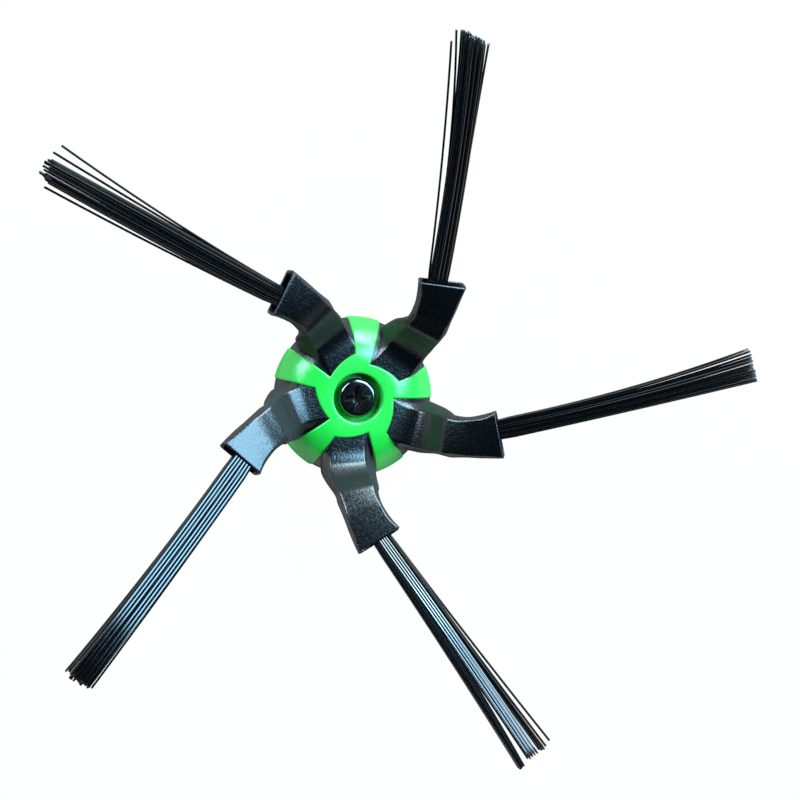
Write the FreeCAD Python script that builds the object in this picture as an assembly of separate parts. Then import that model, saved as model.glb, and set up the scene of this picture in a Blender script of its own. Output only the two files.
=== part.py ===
"""Side brush of a robot vacuum: green hub, five rubber arms with bristle tufts, captive screw.

Millimetres, +Z up along the spin axis towards the screw head. The origin is on the spin axis,
at the end of the drive boss, and the brush rests there on a flat surface with its arms rising.
"""
import FreeCAD, Part
import math
import os
from FreeCAD import Vector

UP = Vector(0, 0, 1)
ORIGIN = Vector(0, 0, 0)

# Hub: outer form
HUB_DIAMETER = 28.0
SKIRT_HEIGHT = 2.6
SKIRT_DRAFT = 0.25          # the skirt draws in by this much towards its lower edge
DOME_HEIGHT = 4.4
TOP_RING_DIAMETER = 12.4    # flat ring at the crown, before the dome curves down
DOME_SPANS = 6              # chords of the dome's arc, kept few to hold the facet count down
CROWN_EDGE_CHAMFER = 0.3     # at the mouth of the counterbore

# Hub: underside
HUB_SHELL = 1.6
BOSS_DIAMETER = 11.8
BOSS_DROP = 2.6             # how far the drive boss stands below the skirt
SOCKET_ACROSS_FLATS = 6.4
SOCKET_CORNER = 0.6
RIB_WIDTH = 1.2
RIB_SETBACK = 0.5           # ribs end this far above the skirt's lower edge
TIE_RING_HEIGHT = 1.1       # closed ring at the foot of the skirt, below the windows
TIE_RING_SETBACK = 0.8      # it stands back behind an apron of the rubber
SCREW_SHELF = 1.4           # web between the counterbore and the drive socket

# Windows in the dome, one for each arm
ARM_COUNT = 5
FIRST_WINDOW_ANGLE = 47.1   # from +X, counter-clockwise seen from the screw side
WINDOW_HALF_ANGLE = 24.2
NOTCH_OUTER_STEP = 1.7      # from the top ring to a window's inner edge, at its clockwise corner
NOTCH_INNER_STEP = 0.05     # and at its counter-clockwise corner
NOTCH_BULGE = 0.45
FOOT_EXTRA_ANGLE = 4.0      # the rubber foot reaches this far past the window on each side
FOOT_SETBACK = 0.9          # and ends this far above the skirt's lower edge

# Screw
HEAD_DIAMETER = 6.8
HEAD_HEIGHT = 2.4
HEAD_ROUND = 0.9
HEAD_ROUND_STEPS = 3
HEAD_SIDE_GAP = 0.9         # between the head and the counterbore wall
HEAD_RECESS = 0.4           # head top below the crown of the hub
HEAD_SEAT_GAP = 0.1
NECK_DIAMETER = 2.6
NECK_SIDE_GAP = 0.3
NECK_FLOAT = 0.7            # how far the screw can rise before its thread meets the shelf
THREAD_DIAMETER = 3.5
THREAD_END = 0.6            # thread end above the end of the drive boss
THREAD_CHAMFER = 0.4
CROSS_SPAN = 4.1
CROSS_WING = 0.95
CROSS_DEPTH = 1.7

# Arm, seen from above. Angles are from the window's centre line, counter-clockwise.
PATH_START_INSET = 0.8      # the arm's top face starts this far inside the top ring's edge
PATH_START_ANGLE = -9.5
PATH_START_HEADING = -1.4
SLEEVE_REACH = 9.5          # from the hub's edge to the middle of the sleeve mouth
MOUTH_ANGLE = 11.2
MOUTH_HEADING = 37.4
ARM_SETS = (-0.6, -1.2, 1.2, 0.6, -0.4)          # how far each mouth has set in use, degrees
HEADING_PER_SET = 1.5

# Arm, seen from the side: a bowl curves up into a wall, whose crest turns into the sleeve
NOTCH_SINK = 0.2            # top face below the crown where the arm leaves it
BOWL_SINK = 0.1             # and where the bowl starts
BOWL_INSET = 4.9            # the bowl starts this far inside the hub's edge
BOWL_RADIUS = 5.1
WALL_ANGLE = 62.0
WALL_LENGTH = 3.4
RISER_SHARE = 0.45          # the riser station stands at this share of the wall
CREST_RADIUS = 1.4
THROAT_GAP = 0.9            # from the crest to the thinnest place, the throat
SHOULDER_GAP = 1.9          # and from there to the sleeve's full depth
SLEEVE_SLOPE = 21.6
SHOULDER_BOW = 0.45         # the sleeve's top face arches this much above a straight line
MIDDLE_BOW = 0.33
UPRIGHT_INSET = 0.9         # sections stand upright to this far inside the hub's edge
PLUG_SINK = 0.25            # the rubber in the window lies this far below the dome

# Arm sections, from the notch outwards
NOTCH_FACE_WIDTH = 7.0
BOWL_FACE_WIDTH = 6.2
RIM_FACE_WIDTH = 6.6
RISER_FACE_WIDTH = 6.45
CREST_FACE_WIDTH = 6.15
THROAT_FACE_WIDTH = 5.8
SHOULDER_FACE_WIDTH = 6.15
MIDDLE_FACE_WIDTH = 6.5
MOUTH_FACE_WIDTH = 7.9
BOWL_BASE_WIDTH = 8.4
RIM_BASE_WIDTH = 9.5
RISER_BASE_WIDTH = 8.5
CREST_BASE_WIDTH = 7.85
THROAT_BASE_WIDTH = 7.5
SHOULDER_BASE_WIDTH = 7.15
MIDDLE_BASE_WIDTH = 7.7
MOUTH_BASE_WIDTH = 8.5
UNDERSIDE_RATIO = 0.94      # underside of the sleeve against its widest line
RISER_DEPTH = 4.1
CREST_DEPTH = 2.2
THROAT_DEPTH = 1.9
SLEEVE_DEPTH = 3.0
MOUTH_DEPTH = 2.75
RISER_LEAN = 20.0
CREST_LEAN = 42.0
BOWL_DROP = 0.75            # from the top face down to the widest line of the section
RIM_DROP = 3.8
RISER_DROP = 2.8
CREST_DROP = 1.5
SLEEVE_DROP = 1.2
MOUTH_DROP = 0.8
EDGE_BEVEL = 0.35
STATION_STEPS = 3           # sections between two stations of an arm

# Sleeve mouth and bristles
LIP_THICKNESS = 0.4
FUNNEL_DEPTH = 2.2
BEAD_WIDTH = 5.0
BEAD_THICKNESS = 1.5
BEAD_LENGTH = 3.0
BRISTLE_DIAMETER = 0.45
BRISTLE_COLUMNS = 8
BRISTLE_ROWS = 3
TUFT_ROOT_WIDTH = 4.4
TUFT_ROOT_HEIGHT = 0.8
TUFT_ROOT_LIFT = 0.12       # root above the middle of the bead
TUFT_ROOT_SINK = 0.6        # bristles start this far inside the bead
TRIM_SPREAD = 0.9           # bristle ends differ by this much either way
TUFT_TIP_HEIGHT = 3.0
TUFT_RISE_ANGLE = 15.0
TUFT_REACHES = (42.0, 45.1, 45.6, 44.2, 45.1)    # from the sleeve mouth to the bristle ends
TUFT_HEADINGS = (40.1, 35.8, 40.4, 42.3, 41.5)   # as each tuft has set in use
TUFT_TIP_WIDTHS = (4.4, 6.0, 5.0, 7.0, 5.2)

# Derived sizes of the hub
HUB_RADIUS = HUB_DIAMETER / 2
BOSS_RADIUS = BOSS_DIAMETER / 2
TOP_RING_RADIUS = TOP_RING_DIAMETER / 2
RIM_Z = BOSS_DROP
WIDEST_Z = RIM_Z + SKIRT_HEIGHT
CROWN_Z = WIDEST_Z + DOME_HEIGHT
WINDOW_SILL_Z = RIM_Z + TIE_RING_HEIGHT
COUNTERBORE_RADIUS = HEAD_DIAMETER / 2 + HEAD_SIDE_GAP
SEAT_Z = CROWN_Z - HEAD_RECESS - HEAD_HEIGHT - HEAD_SEAT_GAP
SOCKET_TOP_Z = SEAT_Z - SCREW_SHELF
DOME_RUN = HUB_RADIUS - TOP_RING_RADIUS
DOME_RADIUS = (DOME_RUN ** 2 + DOME_HEIGHT ** 2) / (2 * DOME_HEIGHT)
DOME_CENTRE_Z = CROWN_Z - DOME_RADIUS


def polar(radius, degrees, z=0.0):
    """Point at a radius and an angle from +X."""
    angle = math.radians(degrees)
    return Vector(radius * math.cos(angle), radius * math.sin(angle), z)


def heading(degrees):
    return polar(1.0, degrees)


def face_of(edges):
    return Part.Face(Part.Wire(Part.__sortEdges__(edges)))


def line(a, b):
    return Part.LineSegment(a, b).toShape()


def arc(a, mid, b):
    return Part.Arc(a, mid, b).toShape()


def revolved(edges):
    return face_of(edges).revolve(ORIGIN, UP, 360)


def in_section(radius, z):
    """Point of a turned section, in the XZ plane."""
    return Vector(radius, 0, z)


def dome_points(inset, spans):
    """Points of the dome's arc at a distance inside it, from the crown to the widest line."""
    radius = DOME_RADIUS - inset
    sweep = math.asin(DOME_RUN / DOME_RADIUS)
    points = []
    for i in range(spans + 1):
        angle = sweep * i / spans
        points.append(in_section(
            TOP_RING_RADIUS + radius * math.sin(angle),
            DOME_CENTRE_Z + radius * math.cos(angle),
        ))
    return points


def chords(points):
    return [line(a, b) for a, b in zip(points, points[1:])]


def hub_envelope():
    """The hub's outer form, solid."""
    dome = dome_points(0.0, DOME_SPANS)
    foot = in_section(HUB_RADIUS - SKIRT_DRAFT, RIM_Z)
    inner = [foot, in_section(0, RIM_Z), in_section(0, dome[0].z), dome[0]]
    return revolved(chords(dome + inner))


def plug_envelope():
    """Limit of the rubber in the windows, just below the dome."""
    dome = dome_points(PLUG_SINK, DOME_SPANS // 2)
    foot = in_section(HUB_RADIUS - SKIRT_DRAFT - PLUG_SINK, RIM_Z)
    inner = [foot, in_section(0, RIM_Z), in_section(0, dome[0].z), dome[0]]
    return revolved(chords(dome + inner))


def hub_hollow():
    """The space between the shell and the boss, open towards the back."""
    roof = dome_points(HUB_SHELL, DOME_SPANS // 3)
    below = RIM_Z - 1.0
    inner_foot = in_section(HUB_RADIUS - SKIRT_DRAFT - HUB_SHELL, below)
    boss_foot = in_section(BOSS_RADIUS, below)
    boss_top = in_section(BOSS_RADIUS, roof[0].z)
    return revolved(chords(roof + [inner_foot, boss_foot, boss_top, roof[0]]))


def window_plan():
    """Plan of a window about +X: slanting bulged inner edge and two radial sides."""
    low = -WINDOW_HALF_ANGLE
    high = WINDOW_HALF_ANGLE
    reach = HUB_RADIUS * 2
    inner_low = polar(TOP_RING_RADIUS + NOTCH_OUTER_STEP, low)
    inner_high = polar(TOP_RING_RADIUS + NOTCH_INNER_STEP, high)
    chord = inner_high - inner_low
    outward = Vector(chord.y, -chord.x, 0).normalize()
    bulge = (inner_low + inner_high) * 0.5 + outward * NOTCH_BULGE
    outer_low = polar(reach, low)
    outer_high = polar(reach, high)
    edges = [
        arc(inner_low, bulge, inner_high),
        line(inner_high, outer_high),
        line(outer_high, outer_low),
        line(outer_low, inner_low),
    ]
    return face_of(edges)


def window_block(bottom, top):
    block = window_plan().extrude(UP * (top - bottom))
    block.translate(UP * bottom)
    return block


def apron_block():
    """Space in front of the tie ring, below a window."""
    block = window_block(RIM_Z, WINDOW_SILL_Z)
    ring_radius = HUB_RADIUS - SKIRT_DRAFT - TIE_RING_SETBACK
    return block.cut(Part.makeCylinder(ring_radius, CROWN_Z))


def sector(half_angle, inner, outer, bottom, top):
    """Ring sector about +X."""
    edges = [
        arc(polar(inner, -half_angle), polar(inner, 0), polar(inner, half_angle)),
        line(polar(inner, half_angle), polar(outer, half_angle)),
        arc(polar(outer, half_angle), polar(outer, 0), polar(outer, -half_angle)),
        line(polar(outer, -half_angle), polar(inner, -half_angle)),
    ]
    block = face_of(edges).extrude(UP * (top - bottom))
    block.translate(UP * bottom)
    return block


def around(shape, index):
    """Copy of a shape that is modelled about +X, turned to its window."""
    copy = shape.copy()
    angle = FIRST_WINDOW_ANGLE + index * 360.0 / ARM_COUNT
    copy.rotate(ORIGIN, UP, angle)
    return copy


def drive_socket():
    half = SOCKET_ACROSS_FLATS / 2
    block = Part.makeBox(
        SOCKET_ACROSS_FLATS, SOCKET_ACROSS_FLATS, SOCKET_TOP_Z, Vector(-half, -half, 0)
    )
    upright = [e for e in block.Edges if abs(e.tangentAt(e.FirstParameter).z) > 0.99]
    return block.makeFillet(SOCKET_CORNER, upright)


def make_hub():
    hollow = hub_hollow()
    shell = hub_envelope().cut(hollow)
    boss = Part.makeCylinder(BOSS_RADIUS, CROWN_Z)
    half_step = 180.0 / ARM_COUNT
    rib = Part.makeBox(
        HUB_RADIUS, RIB_WIDTH, CROWN_Z - RIM_Z - RIB_SETBACK,
        Vector(0, -RIB_WIDTH / 2, RIM_Z + RIB_SETBACK),
    )
    rib.rotate(ORIGIN, UP, half_step)
    ribs = [around(rib, i).common(hollow) for i in range(ARM_COUNT)]
    hub = shell.multiFuse([boss] + ribs)
    window = window_block(WINDOW_SILL_Z, CROWN_Z + 1.0)
    depth = CROWN_Z - SEAT_Z
    cuts = [around(window, i) for i in range(ARM_COUNT)]
    cuts += [around(apron_block(), i) for i in range(ARM_COUNT)]
    cuts.append(Part.makeCylinder(COUNTERBORE_RADIUS, depth + 1.0, Vector(0, 0, SEAT_Z)))
    cuts.append(Part.makeCylinder(NECK_DIAMETER / 2 + NECK_SIDE_GAP, CROWN_Z))
    cuts.append(drive_socket())
    hub = hub.cut(Part.makeCompound(cuts)).removeSplitter()
    return soften_crown(hub)


def soften_crown(hub):
    """Bevel the mouth of the counterbore."""
    mouth = [
        e for e in hub.Edges
        if isinstance(e.Curve, Part.Circle)
        and abs(e.Curve.Radius - COUNTERBORE_RADIUS) < 1e-6
        and abs(e.Curve.Center.z - CROWN_Z) < 1e-6
    ]
    return hub.makeChamfer(CROWN_EDGE_CHAMFER, mouth)


class ArmPath:
    """Centre line of an arm in plan, a quadratic curve about +X."""

    def __init__(self, mouth_set):
        self.start = polar(TOP_RING_RADIUS - PATH_START_INSET, PATH_START_ANGLE)
        self.end = polar(HUB_RADIUS + SLEEVE_REACH, MOUTH_ANGLE + mouth_set)
        out = heading(PATH_START_HEADING)
        back = heading(MOUTH_HEADING + mouth_set * HEADING_PER_SET)
        gap = self.end - self.start
        cross = out.x * back.y - out.y * back.x
        reach = (gap.x * back.y - gap.y * back.x) / cross
        self.knee = self.start + out * reach

    def point(self, t):
        return self.start * (1 - t) ** 2 + self.knee * (2 * t * (1 - t)) + self.end * t ** 2

    def direction(self, t):
        slope = (self.knee - self.start) * (1 - t) + (self.end - self.knee) * t
        return slope.normalize()

    def at_radius(self, radius):
        """Where the path crosses a radius from the spin axis."""
        low, high = 0.0, 1.0
        for _ in range(40):
            mid = (low + high) / 2
            if self.point(mid).Length < radius:
                low = mid
            else:
                high = mid
        return low

    def length(self, start, end):
        """Distance along the path, in plan."""
        steps = 40
        points = [self.point(start + (end - start) * i / steps) for i in range(steps + 1)]
        return sum((b - a).Length for a, b in zip(points, points[1:]))


def closed_wire(corners):
    return Part.makePolygon(corners + corners[:1])


def arm_frame(path, t, z, lean):
    """Origin and axes of a section: side, up within the section, and forward."""
    forward = path.direction(t)
    side = Vector(forward.y, -forward.x, 0)
    tip = math.radians(lean)
    up = UP * math.cos(tip) - forward * math.sin(tip)
    along = forward * math.cos(tip) + UP * math.sin(tip)
    origin = path.point(t) + UP * z
    return origin, side, up, along


def arm_section(path, t, z, reach, fall, face, base, shoulder, underside):
    """Section with a flat face, bevelled edges, slanting shoulders and a narrower underside.

    Its underside lies reach ahead of the top face and fall below it.
    """
    lean = math.degrees(math.atan2(reach, fall))
    origin, side, up, _ = arm_frame(path, t, z, lean)
    half = [
        (face / 2 - EDGE_BEVEL, 0.0),
        (face / 2, -EDGE_BEVEL),
        (base / 2, -shoulder),
        (base / 2 * underside, -math.hypot(reach, fall)),
    ]
    outline = half + [(-x, y) for x, y in reversed(half)]
    return [origin + side * x + up * y for x, y in outline]


def blend(a, b, share):
    return a + (b - a) * share


class TopLine:
    """Height of the arm's top face above the start of the bowl, along the path in plan."""

    def __init__(self):
        steep = math.radians(WALL_ANGLE)
        self.slope = math.radians(SLEEVE_SLOPE)
        self.steep = steep
        self.bowl_run = BOWL_RADIUS * math.sin(steep)
        self.bowl_rise = BOWL_RADIUS * (1 - math.cos(steep))
        self.wall_run = self.bowl_run + WALL_LENGTH * math.cos(steep)
        self.wall_rise = self.bowl_rise + WALL_LENGTH * math.sin(steep)
        turn = math.sin(steep) - math.sin(self.slope)
        self.crest_run = self.wall_run + CREST_RADIUS * turn
        self.crest_rise = self.height_on_crest(self.crest_run)

    def height_on_crest(self, run):
        angle = math.asin(math.sin(self.steep) - (run - self.wall_run) / CREST_RADIUS)
        return self.wall_rise + CREST_RADIUS * (math.cos(angle) - math.cos(self.steep))

    def height(self, run):
        if run <= self.bowl_run:
            return BOWL_RADIUS - math.sqrt(BOWL_RADIUS ** 2 - max(run, 0.0) ** 2)
        if run <= self.wall_run:
            return self.bowl_rise + (run - self.bowl_run) * math.tan(self.steep)
        if run <= self.crest_run:
            return self.height_on_crest(run)
        return self.crest_rise + (run - self.crest_run) * math.tan(self.slope)


TOP_LINE = TopLine()
BOWL_Z = CROWN_Z - BOWL_SINK


def sleeve_run(path):
    """Distance in plan from the start of the bowl to the sleeve mouth."""
    return path.length(path.at_radius(HUB_RADIUS - BOWL_INSET), 1.0)


def mouth_z(path):
    return BOWL_Z + TOP_LINE.height(sleeve_run(path))


def upright_stations(path):
    """Stations over the hub, whose sections stand upright and reach down into the window."""
    inner = HUB_RADIUS - BOWL_INSET
    outer = HUB_RADIUS - UPRIGHT_INSET
    start = path.at_radius(inner)
    top = CROWN_Z - NOTCH_SINK
    rows = [(0.0, top, 0.0, top - WIDEST_Z, NOTCH_FACE_WIDTH, BOWL_BASE_WIDTH, BOWL_DROP, 1.0)]
    for share in (0.0, 0.5, 1.0):
        t = path.at_radius(blend(inner, outer, share))
        z = BOWL_Z + TOP_LINE.height(path.length(start, t))
        face = blend(BOWL_FACE_WIDTH, RIM_FACE_WIDTH, share)
        base = blend(BOWL_BASE_WIDTH, RIM_BASE_WIDTH, share)
        drop = blend(BOWL_DROP, RIM_DROP, share)
        rows.append((t, z, 0.0, z - WIDEST_Z, face, base, drop, 1.0))
    return rows


def sleeve_stations(path):
    """Stations from the top of the wall over the crest to the sleeve mouth."""
    run = sleeve_run(path)
    wall = TOP_LINE.wall_run
    throat = TOP_LINE.crest_run + THROAT_GAP
    shoulder = throat + SHOULDER_GAP
    slope = SLEEVE_SLOPE
    table = (
        (blend(TOP_LINE.bowl_run, wall, RISER_SHARE), 0.0, RISER_DEPTH, RISER_LEAN,
         RISER_FACE_WIDTH, RISER_BASE_WIDTH, RISER_DROP),
        (wall, 0.0, CREST_DEPTH, CREST_LEAN, CREST_FACE_WIDTH, CREST_BASE_WIDTH, CREST_DROP),
        (throat, 0.0, THROAT_DEPTH, slope, THROAT_FACE_WIDTH, THROAT_BASE_WIDTH, SLEEVE_DROP),
        (shoulder, SHOULDER_BOW, SLEEVE_DEPTH, slope, SHOULDER_FACE_WIDTH, SHOULDER_BASE_WIDTH,
         SLEEVE_DROP),
        (blend(shoulder, run, 0.5), MIDDLE_BOW, SLEEVE_DEPTH, slope, MIDDLE_FACE_WIDTH,
         MIDDLE_BASE_WIDTH, SLEEVE_DROP),
        (run, 0.0, MOUTH_DEPTH, slope, MOUTH_FACE_WIDTH, MOUTH_BASE_WIDTH, MOUTH_DROP),
    )
    start = path.at_radius(HUB_RADIUS - BOWL_INSET)
    rows = []
    for distance, bow, depth, lean, face, base, drop in table:
        t = blend(start, 1.0, distance / run)
        z = BOWL_Z + TOP_LINE.height(distance) + bow
        tip = math.radians(lean)
        rows.append((t, z, depth * math.sin(tip), depth * math.cos(tip), face, base, drop,
                     UNDERSIDE_RATIO))
    return rows


def slope_at(before, here, after):
    """Slope of a smooth curve at a row of a table, flat where the values turn."""
    fall = here - before
    rise = after - here
    if fall * rise <= 0:
        return 0.0
    return 2 * fall * rise / (fall + rise)


def smooth_row(rows, i, u):
    """Values between two rows of a table, on a smooth curve that never overshoots them."""
    last = len(rows) - 2
    values = []
    for k, (a, b) in enumerate(zip(rows[i], rows[i + 1])):
        gap = b - a
        start = slope_at(rows[i - 1][k], a, b) if i > 0 else gap
        end = slope_at(a, b, rows[i + 2][k]) if i < last else gap
        bend = 3 * gap - 2 * start - end
        twist = start + end - 2 * gap
        values.append(a + u * (start + u * (bend + u * twist)))
    return values


def skin(sections):
    """Solid from flat facets between matching corners of neighbouring sections."""
    facets = [Part.Face(closed_wire(sections[0])), Part.Face(closed_wire(sections[-1]))]
    for near, far in zip(sections, sections[1:]):
        for i in range(len(near)):
            a, b, c, d = near[i - 1], near[i], far[i], far[i - 1]
            if (c - a).Length > (d - b).Length:
                a, b, c, d = b, c, d, a
            facets.append(Part.Face(closed_wire([a, b, c])))
            facets.append(Part.Face(closed_wire([a, c, d])))
    return Part.Solid(Part.makeShell(facets))


def limb_solid(path):
    """The arm's free form, over the hub and out to the mouth."""
    rows = upright_stations(path) + sleeve_stations(path)
    sections = []
    for i in range(len(rows) - 1):
        for step in range(STATION_STEPS):
            sections.append(arm_section(path, *smooth_row(rows, i, step / STATION_STEPS)))
    sections.append(arm_section(path, *rows[-1]))
    return skin(sections)


def mouth_frame(path):
    """Centre of the sleeve mouth and its axes."""
    origin, side, up, along = arm_frame(path, 1.0, mouth_z(path), SLEEVE_SLOPE)
    return origin - up * (MOUTH_DEPTH / 2), side, up, along


def framed_box(frame, width, height, start, length):
    """Box across the sleeve's axis, from a place along it."""
    centre, side, up, along = frame
    corner = centre + along * start
    half = side * (width / 2)
    rise = up * (height / 2)
    points = [corner - half - rise, corner + half - rise, corner + half + rise,
              corner - half + rise]
    return Part.Face(closed_wire(points)).extrude(along * length)


def funnel(frame):
    """Flared pocket inside the sleeve mouth."""
    centre, side, up, along = frame
    wires = []
    sizes = (
        (-FUNNEL_DEPTH, BEAD_WIDTH, BEAD_THICKNESS),
        (0.0, MOUTH_BASE_WIDTH - 2 * LIP_THICKNESS, MOUTH_DEPTH - 2 * LIP_THICKNESS),
    )
    for start, width, height in sizes:
        middle = centre + along * start
        half = side * (width / 2)
        rise = up * (height / 2)
        corners = [middle - half - rise, middle + half - rise, middle + half + rise,
                   middle - half + rise]
        wires.append(closed_wire(corners))
    return Part.makeLoft(wires, True, True)


def bead_slot(frame):
    """Space of the fused bristle bead, behind the funnel."""
    return framed_box(frame, BEAD_WIDTH, BEAD_THICKNESS, -FUNNEL_DEPTH - BEAD_LENGTH, BEAD_LENGTH)


def arm_foot():
    """Rubber under the shell, wider than the window, which holds the arm in the hub."""
    wedge = sector(
        WINDOW_HALF_ANGLE + FOOT_EXTRA_ANGLE, BOSS_RADIUS, HUB_RADIUS,
        RIM_Z + FOOT_SETBACK, CROWN_Z,
    )
    return wedge.common(hub_hollow())


def make_arm(hub, path):
    limb = limb_solid(path)
    top = mouth_z(path) * 2
    window = window_block(WINDOW_SILL_Z, top)
    inside = Part.makeCylinder(HUB_RADIUS, top)
    over_hub = limb.common(inside).common(window)
    free = limb.cut(inside)
    plug = window.fuse(apron_block()).common(plug_envelope())
    arm = plug.multiFuse([over_hub, free, arm_foot()])
    frame = mouth_frame(path)
    arm = arm.cut(Part.makeCompound([funnel(frame), bead_slot(frame)]))
    turned_hub = hub.copy()
    turned_hub.rotate(ORIGIN, UP, -FIRST_WINDOW_ANGLE)
    return arm.cut(turned_hub).removeSplitter()


def bristle(root, tip):
    """Straight six-sided bristle."""
    along = (tip - root).normalize()
    side = along.cross(UP).normalize()
    rise = side.cross(along)
    radius = BRISTLE_DIAMETER / 2
    corners = []
    for i in range(6):
        angle = math.radians(60 * i)
        corners.append(root + side * (radius * math.cos(angle)) + rise * (radius * math.sin(angle)))
    return Part.Face(closed_wire(corners)).extrude(tip - root)


def make_tuft(path, reach, lead, tip_width):
    """Fused bead in the sleeve and the bristles that fan out from it."""
    frame = mouth_frame(path)
    centre, side, up, along = frame
    rise = math.radians(TUFT_RISE_ANGLE)
    out = heading(lead) * math.cos(rise) + UP * math.sin(rise)
    tip_side = heading(lead - 90)
    tip_up = tip_side.cross(out)
    root_centre = centre - along * (FUNNEL_DEPTH + TUFT_ROOT_SINK) + up * TUFT_ROOT_LIFT
    tip_centre = centre + out * reach
    solids = [bead_slot(frame)]
    for row in range(BRISTLE_ROWS):
        for column in range(BRISTLE_COLUMNS - row % 2):
            across = (column + 0.5 * (row % 2)) / (BRISTLE_COLUMNS - 1) - 0.5
            level = row / (BRISTLE_ROWS - 1) - 0.5
            number = row * BRISTLE_COLUMNS + column
            ragged = TRIM_SPREAD * math.sin(2.4 * number)
            root = root_centre + side * (across * TUFT_ROOT_WIDTH) + up * (level * TUFT_ROOT_HEIGHT)
            tip = (tip_centre + tip_side * (across * tip_width)
                   + tip_up * (level * TUFT_TIP_HEIGHT) + out * ragged)
            solids.append(bristle(root, tip))
    return solids[0].multiFuse(solids[1:])


def screw_profile():
    """Half section of the screw: pan head, neck and thread body."""
    head = HEAD_DIAMETER / 2
    neck = NECK_DIAMETER / 2
    thread = THREAD_DIAMETER / 2
    head_top = CROWN_Z - HEAD_RECESS
    head_foot = SEAT_Z + HEAD_SEAT_GAP
    neck_foot = SOCKET_TOP_Z - NECK_FLOAT
    points = [
        in_section(0, THREAD_END),
        in_section(thread - THREAD_CHAMFER, THREAD_END),
        in_section(thread, THREAD_END + THREAD_CHAMFER),
        in_section(thread, neck_foot),
        in_section(neck, neck_foot),
        in_section(neck, head_foot),
        in_section(head, head_foot),
    ]
    for i in range(HEAD_ROUND_STEPS + 1):
        angle = math.pi / 2 * i / HEAD_ROUND_STEPS
        points.append(in_section(
            head - HEAD_ROUND * (1 - math.cos(angle)),
            head_top - HEAD_ROUND * (1 - math.sin(angle)),
        ))
    points.append(in_section(0, head_top))
    return chords(points + points[:1])


def cross_recess():
    """Four tapered wings that meet at a point."""
    top = CROWN_Z - HEAD_RECESS
    bottom = top - CROSS_DEPTH
    wings = []
    for turn in (0, 90):
        wing = Part.makeBox(CROSS_SPAN, CROSS_WING, CROSS_DEPTH + 1.0,
                            Vector(-CROSS_SPAN / 2, -CROSS_WING / 2, bottom))
        wing.rotate(ORIGIN, UP, turn)
        wings.append(wing)
    cone = Part.makeCone(CROSS_WING * 0.55, CROSS_SPAN / 2, CROSS_DEPTH, Vector(0, 0, bottom))
    return wings[0].fuse(wings[1]).common(cone)


def make_screw():
    return revolved(screw_profile()).cut(cross_recess())


def save(shape, name):
    if not shape.isValid():
        raise RuntimeError(name + " is not a valid shape")
    solids = shape.Solids
    if len(solids) != 1:
        raise RuntimeError(name + " came out as %d solids" % len(solids))
    solids[0].exportStep(os.path.join("parts", name + ".step"))
    print(name, round(solids[0].Volume, 2), "mm3")


def main():
    os.makedirs("parts", exist_ok=True)
    hub = make_hub()
    save(hub, "hub")
    for index in range(ARM_COUNT):
        path = ArmPath(ARM_SETS[index])
        save(around(make_arm(hub, path), index), "arm_%d" % (index + 1))
        tuft = make_tuft(path, TUFT_REACHES[index], TUFT_HEADINGS[index], TUFT_TIP_WIDTHS[index])
        save(around(tuft, index), "tuft_%d" % (index + 1))
    save(make_screw(), "screw")


main()
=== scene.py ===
"""Looks of a robot vacuum side brush: glossy green hub, rubber arms, nylon bristles and screw.

Sizes are in millimetres in the part's own frame, and every mesh is made in metres. The hub and
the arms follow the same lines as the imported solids, with rounded edges and finer surfaces.
"""
import logging
import math
import random
from dataclasses import dataclass
from enum import Enum

import bmesh
import bpy
import numpy as np
from mathutils import Matrix, Vector
from mathutils.kdtree import KDTree


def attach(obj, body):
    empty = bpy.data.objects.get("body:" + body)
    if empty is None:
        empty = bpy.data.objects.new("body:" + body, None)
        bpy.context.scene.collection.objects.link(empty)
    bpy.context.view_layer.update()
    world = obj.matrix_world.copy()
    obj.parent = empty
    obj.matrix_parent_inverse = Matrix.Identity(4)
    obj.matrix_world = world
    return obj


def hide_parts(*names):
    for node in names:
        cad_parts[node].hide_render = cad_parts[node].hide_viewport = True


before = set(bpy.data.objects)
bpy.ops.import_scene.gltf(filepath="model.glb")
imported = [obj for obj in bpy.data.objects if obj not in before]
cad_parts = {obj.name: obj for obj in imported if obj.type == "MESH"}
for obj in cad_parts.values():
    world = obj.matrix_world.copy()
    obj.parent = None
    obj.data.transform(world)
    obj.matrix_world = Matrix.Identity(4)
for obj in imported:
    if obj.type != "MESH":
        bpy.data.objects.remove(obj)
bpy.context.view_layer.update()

LOG = logging.getLogger("side_brush")
MM = 0.001
BRUSH = "brush"
SCREW = "screw"
SMOOTH_ANGLE = math.radians(38)
FIT_GAP = 0.02  # millimetres, keeps faces that meet from lying in one plane

FloatList = list[float]
Points = np.ndarray
Colour = tuple[float, float, float]


# Plain geometry

def polar(radius: float, degrees: float) -> Points:
    """Return the plan point at a radius and an angle from +X."""
    angle = math.radians(degrees)
    return np.array([radius * math.cos(angle), radius * math.sin(angle)])


def blend(a: float, b: float, share: float) -> float:
    """Return the value at a share of the way from a to b."""
    return a + (b - a) * share


def turned(points: Points, degrees: float) -> Points:
    """Turn points about the spin axis.

    Args:
        points: rows of x, y, z.
        degrees: angle, counter-clockwise seen from the screw side.

    Returns:
        The turned rows.
    """
    c, s = math.cos(math.radians(degrees)), math.sin(math.radians(degrees))
    return points @ np.array([[c, s, 0.0], [-s, c, 0.0], [0.0, 0.0, 1.0]])


def circle(radius: float, z: float, steps: int) -> Points:
    """Return the points of a level circle about the spin axis."""
    return np.array([[*polar(radius, 360.0 * i / steps), z] for i in range(steps)])


def upright(line: list[Points], degrees: float) -> Points:
    """Return points of radius and height as x, y, z at an angle about the spin axis."""
    return np.array([[*polar(radius, degrees), z] for radius, z in line])


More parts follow.
